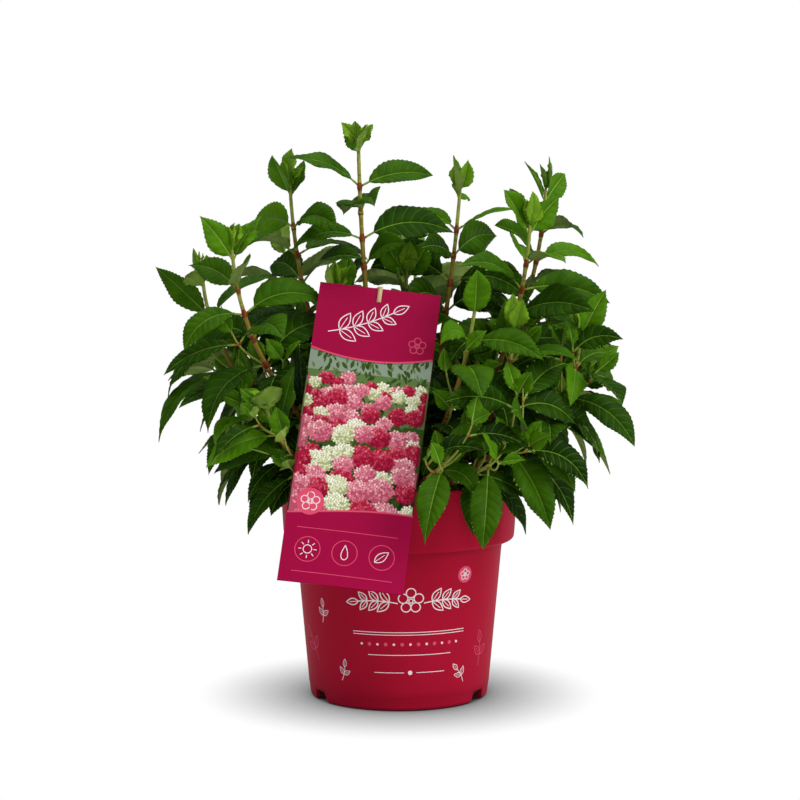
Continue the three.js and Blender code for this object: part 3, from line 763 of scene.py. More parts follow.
def stem_skin(stem, random):
    """Points, faces and barks of a stem with its joints and the fine ridges of its bark."""
    count = int(stem.length / STEM_STEP)
    shares = np.linspace(0, 1, count)
    joints = np.array([p["u"] for p in leaf_places(stem) if not p["young"]])
    away = np.abs(shares[:, None] - joints) * stem.length
    swell = JOINT_SWELL * np.exp(-(away / JOINT_REACH) ** 2).max(axis=1)
    ridges = 1 + RIDGES[0] * random.standard_normal((1, STEM_SIDES))
    ridges = ridges + RIDGES[1] * random.standard_normal((count, STEM_SIDES))
    radii = stem_radius(shares)[:, None] * (1 + swell)[:, None] * ridges
    points = stem_rings(stem, shares, radii, STEM_SIDES).reshape(-1, 3)
    foot, tip = range(STEM_SIDES - 1, -1, -1), range(len(points) - STEM_SIDES, len(points))
    faces = [tuple(foot), *ring_quads(count, STEM_SIDES), tuple(tip)]
    slots = [BARK["brown_bark"]]
    for ring in range(count - 1):
        near = away[ring].min()
        share = shares[ring] + BARK_BLUR * random.standard_normal()
        slot = int(np.searchsorted(BARK_ENDS, share, side="right"))
        if near < RED_REACH and share < RED_HIGHEST:
            slot = BARK["red_joint"]
        elif near < TAN_REACH and share < TAN_HIGHEST:
            slot = BARK["tan_bark"]
        slots += [slot] * STEM_SIDES
    slots.append(BARK["green_wood"])
    return points, faces, slots


def bark(name, dark, light, roughness, relief):
    """Young hydrangea bark: a dull skin with lengthwise streaks a few tenths of a mm wide,
    drawn four times as wide so that they show."""
    made = material(name, dark, roughness)
    tree = made.node_tree
    place = node(tree, "ShaderNodeTexCoord").outputs["Object"]
    drawn = node(tree, "ShaderNodeMapping", {"Scale": (1, 1, 0.18)}, {"Vector": place})
    streak = node(tree, "ShaderNodeTexNoise", {"Scale": 1 / (1.3 * MM), "Detail": 3.0},
                  {"Vector": drawn.outputs["Vector"]})
    mottle(made, streak.outputs["Fac"], dark, light, (0.3, 0.7),
           streak.outputs["Fac"], {"Strength": relief, "Distance": 0.3 * MM})
    return made


stems = [
    Stem(name, stem_curve(foot, tip, knee, hang), turn, size, hang)
    for name, foot, tip, knee, turn, size, hang in SHOOTS
]
barks = [bark(name, *finish) for name, finish in BARKS.items()]
for number, stem in enumerate(stems):
    points, faces, slots = stem_skin(stem, np.random.default_rng(BARK_SEED + number))
    skin = mesh_piece("stem_" + stem.name, points, faces, barks, slots)
    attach(skin, "root")
    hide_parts("cane_" + stem.name)

# Picture card: a plain plastic plant label, printed and coated, hung by its slot from the
# tallest stem so that it leans out over the rim.
CARD_WIDTH = 95
CARD_LENGTH = 240
CARD_THICK = 0.8
CARD_TOP = np.array([-14.3, -31, 325.5])
CARD_ROLL = 7.1
CARD_BOW = 2.2
SLOT_WIDTH = 9
SLOT_HEIGHT = 4
SLOT_BELOW = 13
# The card leans so far that its rear side rests on the rim, with a hair between them.
CARD_LEAN = math.atan2(RIM_RADIUS + 0.9 + CARD_TOP[1], CARD_TOP[2] - POT_HEIGHT + 2.4)
CARD_TURN = np.array(
    Euler((-CARD_LEAN, 0, 0)).to_matrix() @ Euler((0, math.radians(CARD_ROLL), 0)).to_matrix()
)


def on_card(x, y, z):
    """A point in the card's own frame, x across, z up and y through it, in the pot's frame."""
    return np.stack(np.broadcast_arrays(x, y, z), -1) @ CARD_TURN.T + CARD_TOP


def bowed(x, depth, z):
    """A point depth in front of the card, whose middle bows forward more and more below."""
    back = CARD_BOW * ((2 * np.asarray(x) / CARD_WIDTH) ** 2 - 1) * (-np.asarray(z) / CARD_LENGTH)
    return on_card(x, back - depth, z)


def card_body():
    """The card as a bowed sheet with its slot, a grid of cells on each side."""
    xs = np.linspace(-CARD_WIDTH / 2, CARD_WIDTH / 2, 25)
    hole = [k for k in range(24) if abs((xs[k] + xs[k + 1]) / 2) < SLOT_WIDTH / 2]
    xs[hole[0]], xs[hole[-1] + 1] = -SLOT_WIDTH / 2, SLOT_WIDTH / 2
    upper, lower = -SLOT_BELOW + SLOT_HEIGHT / 2, -SLOT_BELOW - SLOT_HEIGHT / 2
    zs = np.array([0, upper, lower, *np.linspace(-30, -CARD_LENGTH, 15)])
    sides = (CARD_THICK / 2, -CARD_THICK / 2)
    points = np.concatenate([bowed(xs, depth, z) for depth in sides for z in zs])
    row, sheet = len(xs), len(xs) * len(zs)
    cells = {(j, k) for j in range(len(zs) - 1) for k in range(row - 1)} - {(1, k) for k in hole}
    faces = []
    for j, k in sorted(cells):
        a = j * row + k
        b, c, d = a + row, a + row + 1, a + 1
        faces += [(a, b, c, d), (a + sheet, d + sheet, c + sheet, b + sheet)]
        edges = (((j - 1, k), d, a), ((j + 1, k), b, c), ((j, k - 1), a, b), ((j, k + 1), c, d))
        faces += [(p, p + sheet, q + sheet, q) for beyond, p, q in edges if beyond not in cells]
    return points, faces


card_points, card_faces = card_body()
card = mesh_piece("picture_card_sheet", card_points, card_faces,
                  [material("coated_plastic_card", "#a00b40", 0.22, 1.5)], smooth=False)
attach(card, "root")
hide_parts("picture_card")

# Print on the card: crimson bands above and below a picture of a flower bed, in layers of
# ink. The picture is generic: domed heads of small florets over leaves, none a real place.
HEADER_FOOT = 54
FOOTER_TOP = 184
INK_LAYER = 0.03
BED_EDGE = CARD_WIDTH / 2 - 1
BED_SEED = 31
BED_LEAVES = 520
HEAD_ROWS = 11
HEAD_STEP = 0.2  # layers of ink from one flower head to the next one in front of it
SQUAT = 0.86  # a head's height over its width, as it is seen from a little above
FLORET = 1.25
FLORETS = 0.85  # to a square of a head's radius
GOLDEN_ANGLE = 2.39996
RIBBON = 1.3
SIGN_LINE = 0.6
SIGNS = ((-28, -214), (0, -214), (28, -214))
BLOSSOM_SEAL = (-31, -177)
INKS = {
    "card_crimson": "#a00b40",
    "card_pink": "#e0506e",
    "card_white": "#f7e6ea",
    "picture_dusk": "#20300f",
    "picture_grass": "#39541d",
    "picture_sage": "#5f7a45",
    "picture_mist": "#8a9a86",
    "ruby_shade": "#8d1130",
    "ruby": "#b3203f",
    "ruby_light": "#cc3f5a",
    "ruby_bright": "#dc6a7c",
    "rose_shade": "#b9506a",
    "rose": "#d97a8b",
    "rose_light": "#eba3ac",
    "rose_bright": "#f7cfcf",
    "cream_shade": "#a9b07c",
    "cream": "#dfe0b8",
    "cream_light": "#f2efdb",
    "cream_bright": "#fdfaf0",
}
INK = {name: number for number, name in enumerate(INKS)}
HEAD_INKS = [
    [INK[kind + end] for end in ("_shade", "", "_light", "_bright")]
    for kind in ("ruby", "rose", "cream")
]
HEAD_SHARES = (0.32, 0.46, 0.22)


def header_edge(x):
    """Height of the lower edge of the crimson header, an even arch."""
    return -HEADER_FOOT - 7 * (1 - (2 * x / CARD_WIDTH) ** 2)


def footer_edge(x):
    """Height of the upper edge of the crimson footer, one long wave."""
    return -FOOTER_TOP + 5 * np.sin(2.4 * x / CARD_WIDTH + 0.6)


def panel(art, top, bottom, inks, rows=14, columns=32):
    """A grid across the card between two curves, its rows dealt out among the inks."""
    xs = np.linspace(-CARD_WIDTH / 2 + 0.1, CARD_WIDTH / 2 - 0.1, columns + 1)
    start = art.add(
        (x, top(x) + (bottom(x) - top(x)) * r / rows) for r in range(rows + 1) for x in xs
    )
    for r in range(rows):
        for k in range(columns):
            a = start + r * (columns + 1) + k
            art.faces.append((a, a + columns + 1, a + columns + 2, a + 1))
            art.inks.append(inks[r * len(inks) // rows])


def bed_ground():
    """Haze at the top of the picture, and darker and darker green down to the front."""
    art = Drawing()
    tones = ("mist", "sage", "sage", "grass", "grass", "dusk", "dusk")
    inks = [INK["picture_" + tone] for tone in tones]
    panel(art, lambda x: -HEADER_FOOT + 2, lambda x: -FOOTER_TOP - 4, inks)
    return art


def bed_leaves(random):
    """Leaves between the flowers, larger and darker towards the front."""
    art = Drawing()
    for _ in range(BED_LEAVES):
        x = random.uniform(-BED_EDGE, BED_EDGE)
        z = random.uniform(-FOOTER_TOP - 2, -HEADER_FOOT - 4)
        near = (-HEADER_FOOT - z) / (FOOTER_TOP - HEADER_FOOT)
        length = random.uniform(4, 7) + 5 * near
        t = np.linspace(0, 1, 6)
        half = length * random.uniform(0.12, 0.24) * np.sin(math.pi * t)
        shape = turned(lens(t * length, -half), (x, z), random.uniform(40, 140))
        if np.abs(shape[:, 0]).max() > BED_EDGE or shape[:, 1].max() > -HEADER_FOOT:
            continue
        pick = random.random() + 0.5 * (1 - near)
        tone = "dusk" if pick < 0.4 else "grass" if pick < 1 else "sage"
        art.fill(shape, INK["picture_" + tone])
    return art


def flower_heads(random):
    """Places, sizes and kinds of the domed heads, larger towards the front, nearest first."""
    heads = []
    for row in range(HEAD_ROWS):
        near = 1 - row / (HEAD_ROWS - 1)
        radius = 6.5 + 5.5 * near
        z = -FOOTER_TOP + 4 + 100 * (1 - near) ** 0.85
        x = -CARD_WIDTH / 2 + random.uniform(-4, 6)
        while x < CARD_WIDTH / 2:
            size = radius * random.uniform(0.8, 1.15)
            kind = random.choice(len(HEAD_INKS), p=HEAD_SHARES)
            heads.append((x, z + random.uniform(-5, 5), size, kind))
            x += size * random.uniform(1.3, 1.8)
    return heads


def floret(centre, size, angle):
    """A flat floret of five blunt petals."""
    turns = angle + 2 * math.pi * np.arange(10) / 10
    reach = size * np.where(np.arange(10) % 2, 0.58, 1.0)
    return np.stack([centre[0] + reach * np.cos(turns), centre[1] + reach * np.sin(turns)], -1)


def shows(x, z, nearer):
    """Whether a floret lies in the picture and no nearer head covers it."""
    if abs(x) >= BED_EDGE - 1.4 or z <= footer_edge(x) - 3 or z >= header_edge(x) - 3:
        return False
    return all(math.hypot(x - hx, (z - hz) / SQUAT) >= r * 0.97 for hx, hz, r, _ in nearer)


def bed_bloom(random):
    """The flower heads, each a dome of florets that are lit from above."""
    art = Drawing()
    heads = flower_heads(random)
    for number, (x, z, size, kind) in enumerate(heads):
        art.layer = HEAD_STEP * (len(heads) - number)
        dome = circle((0, 0), size * 0.9, 26) * (1, SQUAT) * random.uniform(0.92, 1.08, (26, 1))
        low, high = (-BED_EDGE, -CARD_LENGTH + 40), (BED_EDGE, -HEADER_FOOT - 1)
        art.fill(np.clip(dome + (x, z), low, high), HEAD_INKS[kind][0])
        art.layer += HEAD_STEP / 2
        count = int(FLORETS * size ** 2)
        for k in range(count):
            reach = size * math.sqrt((k + 0.5) / count)
            angle = k * GOLDEN_ANGLE + number
            px, pz = x + reach * math.cos(angle), z + SQUAT * reach * math.sin(angle)
            if not shows(px, pz, heads[:number]):
                continue
            lit = (math.sin(angle) * 0.75 - math.cos(angle) * 0.35) * reach / size
            tone = int(np.clip(1.6 + 1.7 * lit + random.uniform(-1.1, 1.1), 0, 3))
            petals = floret((px, pz), FLORET * random.uniform(0.8, 1.1), random.uniform(0, 6.3))
            art.fill(petals, HEAD_INKS[kind][tone])
    return art


def sun_sign(art, centre, ink):
    """A small ring with eight rays."""
    art.ring(centre, 3.2, SIGN_LINE, ink)
    for k in range(8):
        ray = np.array([math.cos(k * math.pi / 4), math.sin(k * math.pi / 4)])
        art.line([centre + 4.6 * ray, centre + 7 * ray], SIGN_LINE, ink)


def drop_sign(art, centre, ink):
    """A drop of water in outline, its point up."""
    t = np.linspace(0, 2 * math.pi, 24, endpoint=False)
    drop = np.stack([3.4 * np.sin(t) * np.sin(t / 2) ** 1.2, 0.5 + 5.6 * np.cos(t)], -1)
    art.line(drop[::-1] + centre, SIGN_LINE, ink, closed=True)


def card_bands():
    """The crimson header and footer."""
    art = Drawing()
    panel(art, lambda x: -0.1, header_edge, [INK["card_crimson"]])
    panel(art, footer_edge, lambda x: -CARD_LENGTH + 0.1, [INK["card_crimson"]])
    return art


def card_line_art():
    """Pink ribbons along the bands, a white sprig, blossoms and three plain signs."""
    art = Drawing()
    pink, white = INK["card_pink"], INK["card_white"]
    xs = np.linspace(-CARD_WIDTH / 2 + 0.3, CARD_WIDTH / 2 - 0.3, 40)
    art.line([(x, header_edge(x) + 0.4) for x in xs], RIBBON, pink)
    art.line([(x, footer_edge(x)) for x in xs], RIBBON, pink)
    art.sprig((-36, -40), 14, 52, 4, 17, 0.8, white, bend=18)
    art.blossom((34, -44), 7, 0.7, pink)
    art.fill(circle(BLOSSOM_SEAL, 10.5, 32), pink)
    art.blossom(BLOSSOM_SEAL, 7.5, 0.7, white)
    for sign in SIGNS:
        art.ring(sign, 9.5, SIGN_LINE, pink)
    sun, water, leaf = SIGNS
    sun_sign(art, sun, white)
    drop_sign(art, water, white)
    art.leaf((leaf[0] - 5, leaf[1] - 4), 42, 13, SIGN_LINE, white)
    for z in (-231.5, -197.5):
        art.line([(x, z) for x in np.linspace(-38, 38, 24)], 0.5, pink)
    return art


def card_ink(name, colour):
    """Offset ink under a clear film: an even colour with a soft gloss."""
    return printed_ink(material(name, colour, 0.3, 1.5), 0.5, 1.0, 0.05)


inks = [card_ink(name, colour) for name, colour in INKS.items()]
bed_random = np.random.default_rng(BED_SEED)
foliage, bloom = bed_leaves(bed_random), bed_bloom(bed_random)
BANDS_LEVEL = 4 + max(point[2] for point in bloom.points)
LAYERS = (
    ("card_picture_ground", bed_ground(), 1),
    ("card_picture_foliage", foliage, 2),
    ("card_picture_bloom", bloom, 3),
    ("card_bands", card_bands(), BANDS_LEVEL),
    ("card_line_art", card_line_art(), BANDS_LEVEL + 1),
)
for name, drawing, level in LAYERS:
    flat = np.array(drawing.points)
    depth = CARD_THICK / 2 + INK_LAYER * (level + flat[:, 2])
    layer = mesh_piece(name, bowed(flat[:, 0], depth, flat[:, 1]), drawing.faces, inks,
                       drawing.inks, smooth=False)
    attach(layer, "root")

# Card strap: a narrow tan tape with paper in it, looped through the slot, over the card's
# edge and round the stem.
STRAP_WIDTH = 3.4
STRAP_THICK = 0.8
STRAP_STEPS = 8  # steps between two stations of its path, and for the room that it takes
STRAP_ROOM_STEPS = 3
STRAP_OFF = CARD_THICK / 2 + STRAP_THICK / 2 + 0.35  # from the card's middle to the strap's


def closed_spline(stations, t):
    """Points at shares t of a smooth curve through a closed ring of stations, which turns
    the more sharply the nearer they stand to each other."""
    count = len(stations)
    found = []
    for share in t:
        k = int(math.floor(share * count))
        w = share * count - k
        p = [stations[(k + i) % count] for i in (-1, 0, 1, 2)]
        first, middle, last = (float(np.sum((b - a) ** 2)) ** 0.25 for a, b in zip(p, p[1:]))
        enter = (p[1] - p[0]) / first - (p[2] - p[0]) / (first + middle) + (p[2] - p[1]) / middle
        leave = (p[2] - p[1]) / middle - (p[3] - p[1]) / (middle + last) + (p[3] - p[2]) / last
        enter, leave = enter * middle, leave * middle
        c2 = -3 * p[1] + 3 * p[2] - 2 * enter - leave
        c3 = 2 * p[1] - 2 * p[2] + enter + leave
        found.append(p[1] + enter * w + c2 * w * w + c3 * w ** 3)
    return np.array(found)


def strap_stations(stem):
    """The strap's path, with the way that its width lies at each station: from the front of
    the slot over the card's upper edge, round the back of the stem, and into the slot from
    behind."""
    u = 0.0
    while stem.place(u)[2] < on_card(0, 0, -SLOT_BELOW / 2)[2]:
        u += 0.002
    centre = stem.place(u)
    reach = stem_radius(u) + STRAP_THICK / 2 + 0.5
    flat = on_card(1, 0, 0) - on_card(0, 0, 0)
    upright = np.array([0.0, 0.0, 1.0])
    round_stem = [
        centre + (x * reach, y * reach, z)
        for x, y, z in ((-1.05, -1.2, 2), (-0.8, 0.8, 0.8), (0.8, 0.8, -0.8), (1.05, -1.2, -2))
    ]
    return [
        (on_card(0, -STRAP_OFF - 0.5, -SLOT_BELOW + 3.4), flat),
        (on_card(0, -STRAP_OFF, -1.6), flat),
        (on_card(0, 0, 1.6), flat),
        (on_card(-2, 5, 1.8), flat + upright),
        *((point, upright) for point in round_stem),
        (on_card(2, 6, -SLOT_BELOW + 3), flat + upright),
        (on_card(0, 1.6, -SLOT_BELOW), flat),
    ]


def strap_band(stem, fine):
    """Rings of the strap, with so many steps between two stations of its path."""
    stations = strap_stations(stem)
    count = len(stations)
    t = np.arange(count * fine) / (count * fine)
    path = [point for point, _ in stations]
    centres = closed_spline(path, t)
    step = 1e-4
    along = unit(closed_spline(path, (t + step) % 1) - closed_spline(path, (t - step) % 1))
    ways = [unit(way) for _, way in stations]
    wide = [
        ways[k] + (ways[(k + 1) % count] - ways[k]) * part / fine
        for k in range(count) for part in range(fine)
    ]
    thin = unit(np.cross(wide, along))
    wide = np.cross(along, thin)
    section = ((1, 1), (-1, 1), (-1, -1), (1, -1))
    rings = [
        centres + wide * (w * STRAP_WIDTH / 2) + thin * (h * STRAP_THICK / 2) for w, h in section
    ]
    points = np.stack(rings, axis=1).reshape(-1, 3)
    quads = ring_quads(len(t) + 1, len(section))
    return points, [tuple(v % len(points) for v in (a, d, c, b)) for a, b, c, d in quads]


tallest = next(stem for stem in stems if stem.name == "tallest")
strap_points, strap_faces = strap_band(tallest, STRAP_STEPS)
strap = mesh_piece("paper_strap", strap_points, strap_faces,
                   [material("tan_paper_tape", "#cdb389", 0.6)])
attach(strap, "root")
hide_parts("card_strap")

# Leaves on the canes: opposite pairs, each pair a quarter turn from the last. Each grows as
# large as the others leave it room for, and turns its face to the light.
LEAF_SLIM = 0.36  # width of a blade over its length
YOUNG_SLIM = 0.56
PETIOLE = 0.13  # share of a leaf's length
LEAF_TILT = 50  # how far a blade's face leans from straight up to the light
# By how much a leaf may differ from the rule, in degrees and in shares of its size.
JITTER = {
    "turn": 12,
    "spread": 11,
    "droop": 18,
    "tilt": 24,
    "length": 0.1,
    "width": 0.08,
    "bend": 0.22,
}
LIGHT = {"side": 0.6, "rear": 60}  # leaves in front of this depth face the front
CLEAR = 0.6  # room that a new leaf keeps all round
# How often a leaf is tried, how much it shrinks and turns from try to try, and how often a
# side shoot and each of its leaves are.
TRIES = {"most": 8, "shrink": 0.93, "wider": 0.5, "twig": 3}
# Room that is kept round the pot and the card, and the crown that no leaf's tip leaves.
ROOM = {"pot": 1.5, "rim": 1.2, "card_side": 1.5, "card_front": 60, "card_back": 2}
CROWN = {"half_width": 196, "half_depth": 182, "lowest": 112, "highest": 458}
# Sections of a leaf to test what it touches: the share of its length, half its width in mm
# and as a share of half the blade's, and how thick it is.
LEAF_STATIONS = (
    (0, 0.9, 0, 1.7),
    (PETIOLE, 1.2, 0, 1.8),
    (0.37, 0, 0.96, 1.8),
    (0.67, 0, 0.84, 1.4),
)
YOUNG_STATIONS = ((0, 0.8, 0, 1.3), (0.5, 0, 1, 1.3))
BLADE_FOOT = (PETIOLE + 0.04, 0.24)  # shares from which a blade is tested without its stalk
BITS = 0xFFFFFFFF


def random_stream(seed):
    """A numbered stream of repeatable random values between 0 and 1."""
    state = seed & BITS
    while True:
        state = (state + 0x6D2B79F5) & BITS
        t = ((state ^ (state >> 15)) * (state | 1)) & BITS
        t ^= (t + (((t ^ (t >> 7)) * (t | 61)) & BITS)) & BITS
        yield (t ^ (t >> 14)) / 4294967296


def way_out(along, turn):
    """The way straight out of a stem, at an angle about it."""
    reference = unit(np.array([1.0, 0, 0]) - along * along[0])
    return reference * math.cos(turn) + np.cross(along, reference) * math.sin(turn)


def leaf_rib(stem, place, side, number, attempt):
    """One leaf as a curved rib: where it starts, bends and ends, and how its blade lies."""
    stream = random_stream(7919 * number + 104729 * attempt + 17)

    def jitter(what):
        return (next(stream) * 2 - 1) * JITTER[what]

    wider = 1 + attempt * TRIES["wider"]
    along = stem.way(place["u"])
    turn = math.radians(place["azimuth"] + 180 * side + jitter("turn") * wider)
    spread = math.radians(place["spread"] + jitter("spread") * wider)
    droop = math.radians(place["droop"] + jitter("droop") * wider)
    length = place["length"] * (1 + jitter("length")) * TRIES["shrink"] ** attempt
    out = way_out(along, turn)
    first = along * math.cos(spread) + out * math.sin(spread)
    flat = np.array([first[0], first[1], 0])
    if np.linalg.norm(flat) < 0.2:
        flat = flat + (out[0], out[1], 0)
    flat = unit(flat)
    rise = math.atan2(first[2], math.hypot(first[0], first[1])) - droop
    fall = max(rise, math.radians(DROOP["steepest"]))
    last = flat * math.cos(fall) + (0, 0, math.sin(fall))
    last = unit(last + np.array([-flat[1], flat[0], 0]) * jitter("bend"))
    root = stem.place(place["u"])
    bend = root + first * length * 0.5
    tip = bend + last * length * 0.5
    tilt = math.radians(LEAF_TILT + jitter("tilt"))
    light = unit(np.array([LIGHT["side"] * bend[0], bend[1] - LIGHT["rear"], 0])) * math.sin(tilt)
    light[2] = math.cos(tilt)
    across = unit(np.cross(light, tip - root))
    width = length * (YOUNG_SLIM if place["young"] else LEAF_SLIM) * (1 + jitter("width"))
    return {"curve": [root, bend, tip], "across": across, "width": width, "young": place["young"]}


def rib_frames(rib, t):
    """Centres, ups and acrosses along a leaf's rib."""
    along = curve_way(rib["curve"], t)
    up = unit(np.cross(along, rib["across"]))
    return curve_place(rib["curve"], t), up, np.cross(up, along)


def tube_faces(rings, around, pointed):
    """Triangles of a closed tube of rings, which ends in a point or in a flat."""
    faces = [(0, i + 1, i) for i in range(1, around - 1)]
    for a, b, c, d in ring_quads(rings, around):
        faces += [(a, b, c), (a, c, d)]
    last = (rings - 1) * around
    if pointed:
        return faces + [(last + i, last + (i + 1) % around, last + around) for i in range(around)]
    return faces + [(last, last + i, last + i + 1) for i in range(1, around - 1)]


class Shell:
    """A closed shape that other shapes can be tested against."""

    def __init__(self, points, faces):
        self.low, self.high = points.min(axis=0), points.max(axis=0)
        self.tree = BVHTree.FromPolygons(points.tolist(), faces)

    def touches(self, other):
        if np.any(self.low > other.high) or np.any(other.low > self.high):
            return False
        return bool(self.tree.overlap(other.tree))


def leaf_shell(rib, grow, blade_only=False):
    """The leaf as a simple closed shape, to see what it would touch."""
    stations = np.array(YOUNG_STATIONS if rib["young"] else LEAF_STATIONS, float)
    if blade_only:
        stations[:2, 0] = BLADE_FOOT[0], max(stations[1, 0], BLADE_FOOT[1])
    at, half, share, thick = stations.T
    half = half + share * rib["width"] / 2 + grow
    centre, up, across = rib_frames(rib, at)
    lift, half = (thick / 2 + grow)[:, None], half[:, None]
    edge = centre + up * lift
    rings = np.stack([centre - up * lift, edge + across * half, edge - across * half], 1)
    tip = rib["curve"][2] + curve_way(rib["curve"], 1.0) * grow
    points = np.concatenate([rings.reshape(-1, 3), [tip]])
    return Shell(points, tube_faces(len(stations), 3, True))


def wood_shell(stem, shares, radii):
    """A stem or side shoot as a plain tube with five sides."""
    rings = stem_rings(stem, shares, radii, 5)
    return Shell(rings.reshape(-1, 3), tube_faces(len(shares), 5, False))


def pot_room():
    """The pot with its soil, and a little room round it."""
    room, top = ROOM["pot"], POT_HEIGHT + ROOM["rim"]
    profile = [
        (0, -2),
        (BASE_RADIUS + room, -2),
        (BODY_TOP_RADIUS + room, COLLAR_FOOT_Z - room),
        (COLLAR_FOOT_RADIUS + room, COLLAR_FOOT_Z - room),
        (RIM_RADIUS + room, top),
        (RIM_RADIUS - 4, top),
        (RIM_RADIUS - 5, SOIL_TOP + 2),
        (0, SOIL_TOP + 2),
    ]
    points, faces = revolve(profile, 32)
    return Shell(np.array(points), faces)


def card_room():
    """The card with the open space in front of it."""
    x, z = CARD_WIDTH / 2 + ROOM["card_side"], CARD_LENGTH + ROOM["card_side"]
    corners = np.array([
        (i, j, k)
        for i in (-x, x)
        for j in (-ROOM["card_front"], ROOM["card_back"])
        for k in (-z, ROOM["card_side"])
    ])
    faces = [(0, 1, 3, 2), (4, 6, 7, 5), (0, 4, 5, 1), (2, 3, 7, 6), (0, 2, 6, 4), (1, 5, 7, 3)]
    return Shell(on_card(*corners.T), faces)


def in_crown(point):
    x, y = point[0] / CROWN["half_width"], point[1] / CROWN["half_depth"]
    return x * x + y * y < 1 and CROWN["lowest"] < point[2] < CROWN["highest"]


def in_pairs(places):
    """Each place twice, since a leaf stands on either side of the stem there."""
    return [place for place in places for _ in (0, 1)]


def new_leaf(number, rib, age, grow):
    """A leaf of a stem with its shape, whole and without its stalk."""
    whole, blade = leaf_shell(rib, grow), leaf_shell(rib, grow, True)
    return {"number": number, "rib": rib, "age": age, "whole": whole, "blade": blade}


def clears_bodies(leaf, skins, fixed):
    """Whether a leaf stays off the pot, the card, the strap and the stems. Its stalk may
    stand on its own stem."""
    number = leaf["number"]
    if leaf["blade"].touches(skins[number]):
        return False
    return not any(map(leaf["whole"].touches, skins[:number] + skins[number + 1:] + fixed))


def clears_leaves(leaf, grown):
    """Whether a leaf stays off the others. Stalks of one stem may touch each other."""
    for other in grown:
        part = "blade" if other["number"] == leaf["number"] else "whole"
        if leaf[part].touches(other[part]):
            return False
    return True


def grow_leaves(stems, skins, fixed):
    """Every leaf is tried a few times, a little smaller and more turned each time, until it
    stays in the crown and touches nothing. One that never fits is left out."""
    grown = []
    for number, stem in enumerate(stems):
        for n, place in enumerate(in_pairs(leaf_places(stem))):
            for attempt in range(TRIES["most"]):
                rib = leaf_rib(stem, place, n % 2, number * 64 + n, attempt)
                if not in_crown(rib["curve"][2]):
                    continue
                tried = new_leaf(number, rib, place["age"], CLEAR)
                if clears_bodies(tried, skins, fixed) and clears_leaves(tried, grown):
                    grown.append(new_leaf(number, rib, place["age"], 0))
                    break
    return grown


fixed = [pot_room(), card_room(), Shell(*strap_band(tallest, STRAP_ROOM_STEPS))]
stations = np.linspace(0, 1, 21)
skins = [wood_shell(stem, stations, stem_radius(stations) + 0.5) for stem in stems]
leaves = grow_leaves(stems, skins, fixed)

# Side shoots: short green twigs out of the axils and out of two old joints below them, each
# with a pair of leaves and a young pair. They grow where the leaves left room low down.
TWIG_SEED = 77
TWIG = {"shortest": 16, "longest": 42, "highest": 300}
TWIG_LEAVES = (
    {"u": 0.72, "length": 70, "spread": 58, "droop": 62, "turn": 0, "age": 0.5, "young": False},
    {"u": 0.97, "length": 26, "spread": 28, "droop": 10, "turn": 90, "age": 0.3, "young": True},
)
TWIG_CLEAR = 0.4
TWIG_SIDES = 7
TWIG_STATIONS = 10
LOW_JOINTS = ((0.12, 20), (0.21, 110))  # old joints below the leaves, and their turn


def side_twig(stem, place, side, random):
    """A short side shoot from a leaf's axil, with a pair of leaves and a young pair."""
    along = stem.way(place["u"])
    turn = math.radians(place["azimuth"] + 180 * side + random.uniform(-25, 25))
    lean = math.radians(random.uniform(30, 55))
    first = along * math.cos(lean) + way_out(along, turn) * math.sin(lean)
    start = stem.place(place["u"])
    length = random.uniform(TWIG["shortest"], TWIG["longest"])
    end = start + first * length * 0.8 + (0, 0, length * 0.3)
    curve = [start, start + first * length * 0.3, start + first * length * 0.6, end]
    twig = Stem("twig", curve, random.uniform(0, 90), stem.size)
    size = stem.size * random.uniform(0.75, 1.1)
    places = [
        dict(pair, length=pair["length"] * size, azimuth=twig.turn + pair["turn"])
        for pair in TWIG_LEAVES
    ]
    return twig, places


def twig_radius(shares):
    """A side shoot's taper from its foot to its tip."""
    return 1.0 - 0.35 * shares


def twig_leaves(twig, places, number, seed, fits):
    """The leaves of one side shoot, as far as each finds room."""
    borne = []
    for n, place in enumerate(in_pairs(places)):
        for attempt in range(TRIES["twig"]):
            rib = leaf_rib(twig, place, n % 2, seed + n, attempt)
            leaf = new_leaf(number, rib, place["age"], TWIG_CLEAR)
            if fits(leaf) and clears_leaves(leaf, borne):
                borne.append(leaf)
                break
    return borne


def grow_twigs(stems, skins, grown, fixed):
    """Side shoots wherever the main leaves left room for one and for a leaf or more of it,
    and these leaves."""
    random = np.random.default_rng(TWIG_SEED)
    taken = [(leaf["whole"], leaf["number"]) for leaf in grown]
    low = np.min([shape.low for shape, _ in taken], axis=0)
    high = np.max([shape.high for shape, _ in taken], axis=0)

    def fits(leaf):
        whole = leaf["whole"]
        if np.any(whole.low < low) or np.any(whole.high > high):
            return False
        free = clears_bodies(leaf, skins, fixed)
        return free and not any(whole.touches(shape) for shape, _ in taken)

    twigs, leaves = [], []
    shares = np.linspace(0, 1, 5)
    for number, stem in enumerate(stems):
        own = [place for place in leaf_places(stem) if not place["young"]]
        old = [dict(own[0], u=u, azimuth=own[0]["azimuth"] + turn) for u, turn in LOW_JOINTS]
        others = skins[:number] + skins[number + 1:] + fixed
        for n, place in enumerate(in_pairs(old + own)):
            for attempt in range(TRIES["twig"]):
                twig, places = side_twig(stem, place, n % 2, random)
                if twig.place(1.0)[2] > TWIG["highest"]:
                    continue
                wood = wood_shell(twig, shares, twig_radius(shares) + 0.3)
                if any(map(wood.touches, others)):
                    continue
                if any(wood.touches(shape) for shape, owner in taken if owner != number):
                    continue
                seed = 90000 + number * 997 + n // 2 * 41 + n % 2 * 17 + attempt * 7
                borne = twig_leaves(twig, places, number, seed, fits)
                if borne:
                    taken += [(leaf["whole"], number) for leaf in borne] + [(wood, number)]
                    leaves += borne
                    twigs.append(twig)
                    break
    return twigs, leaves


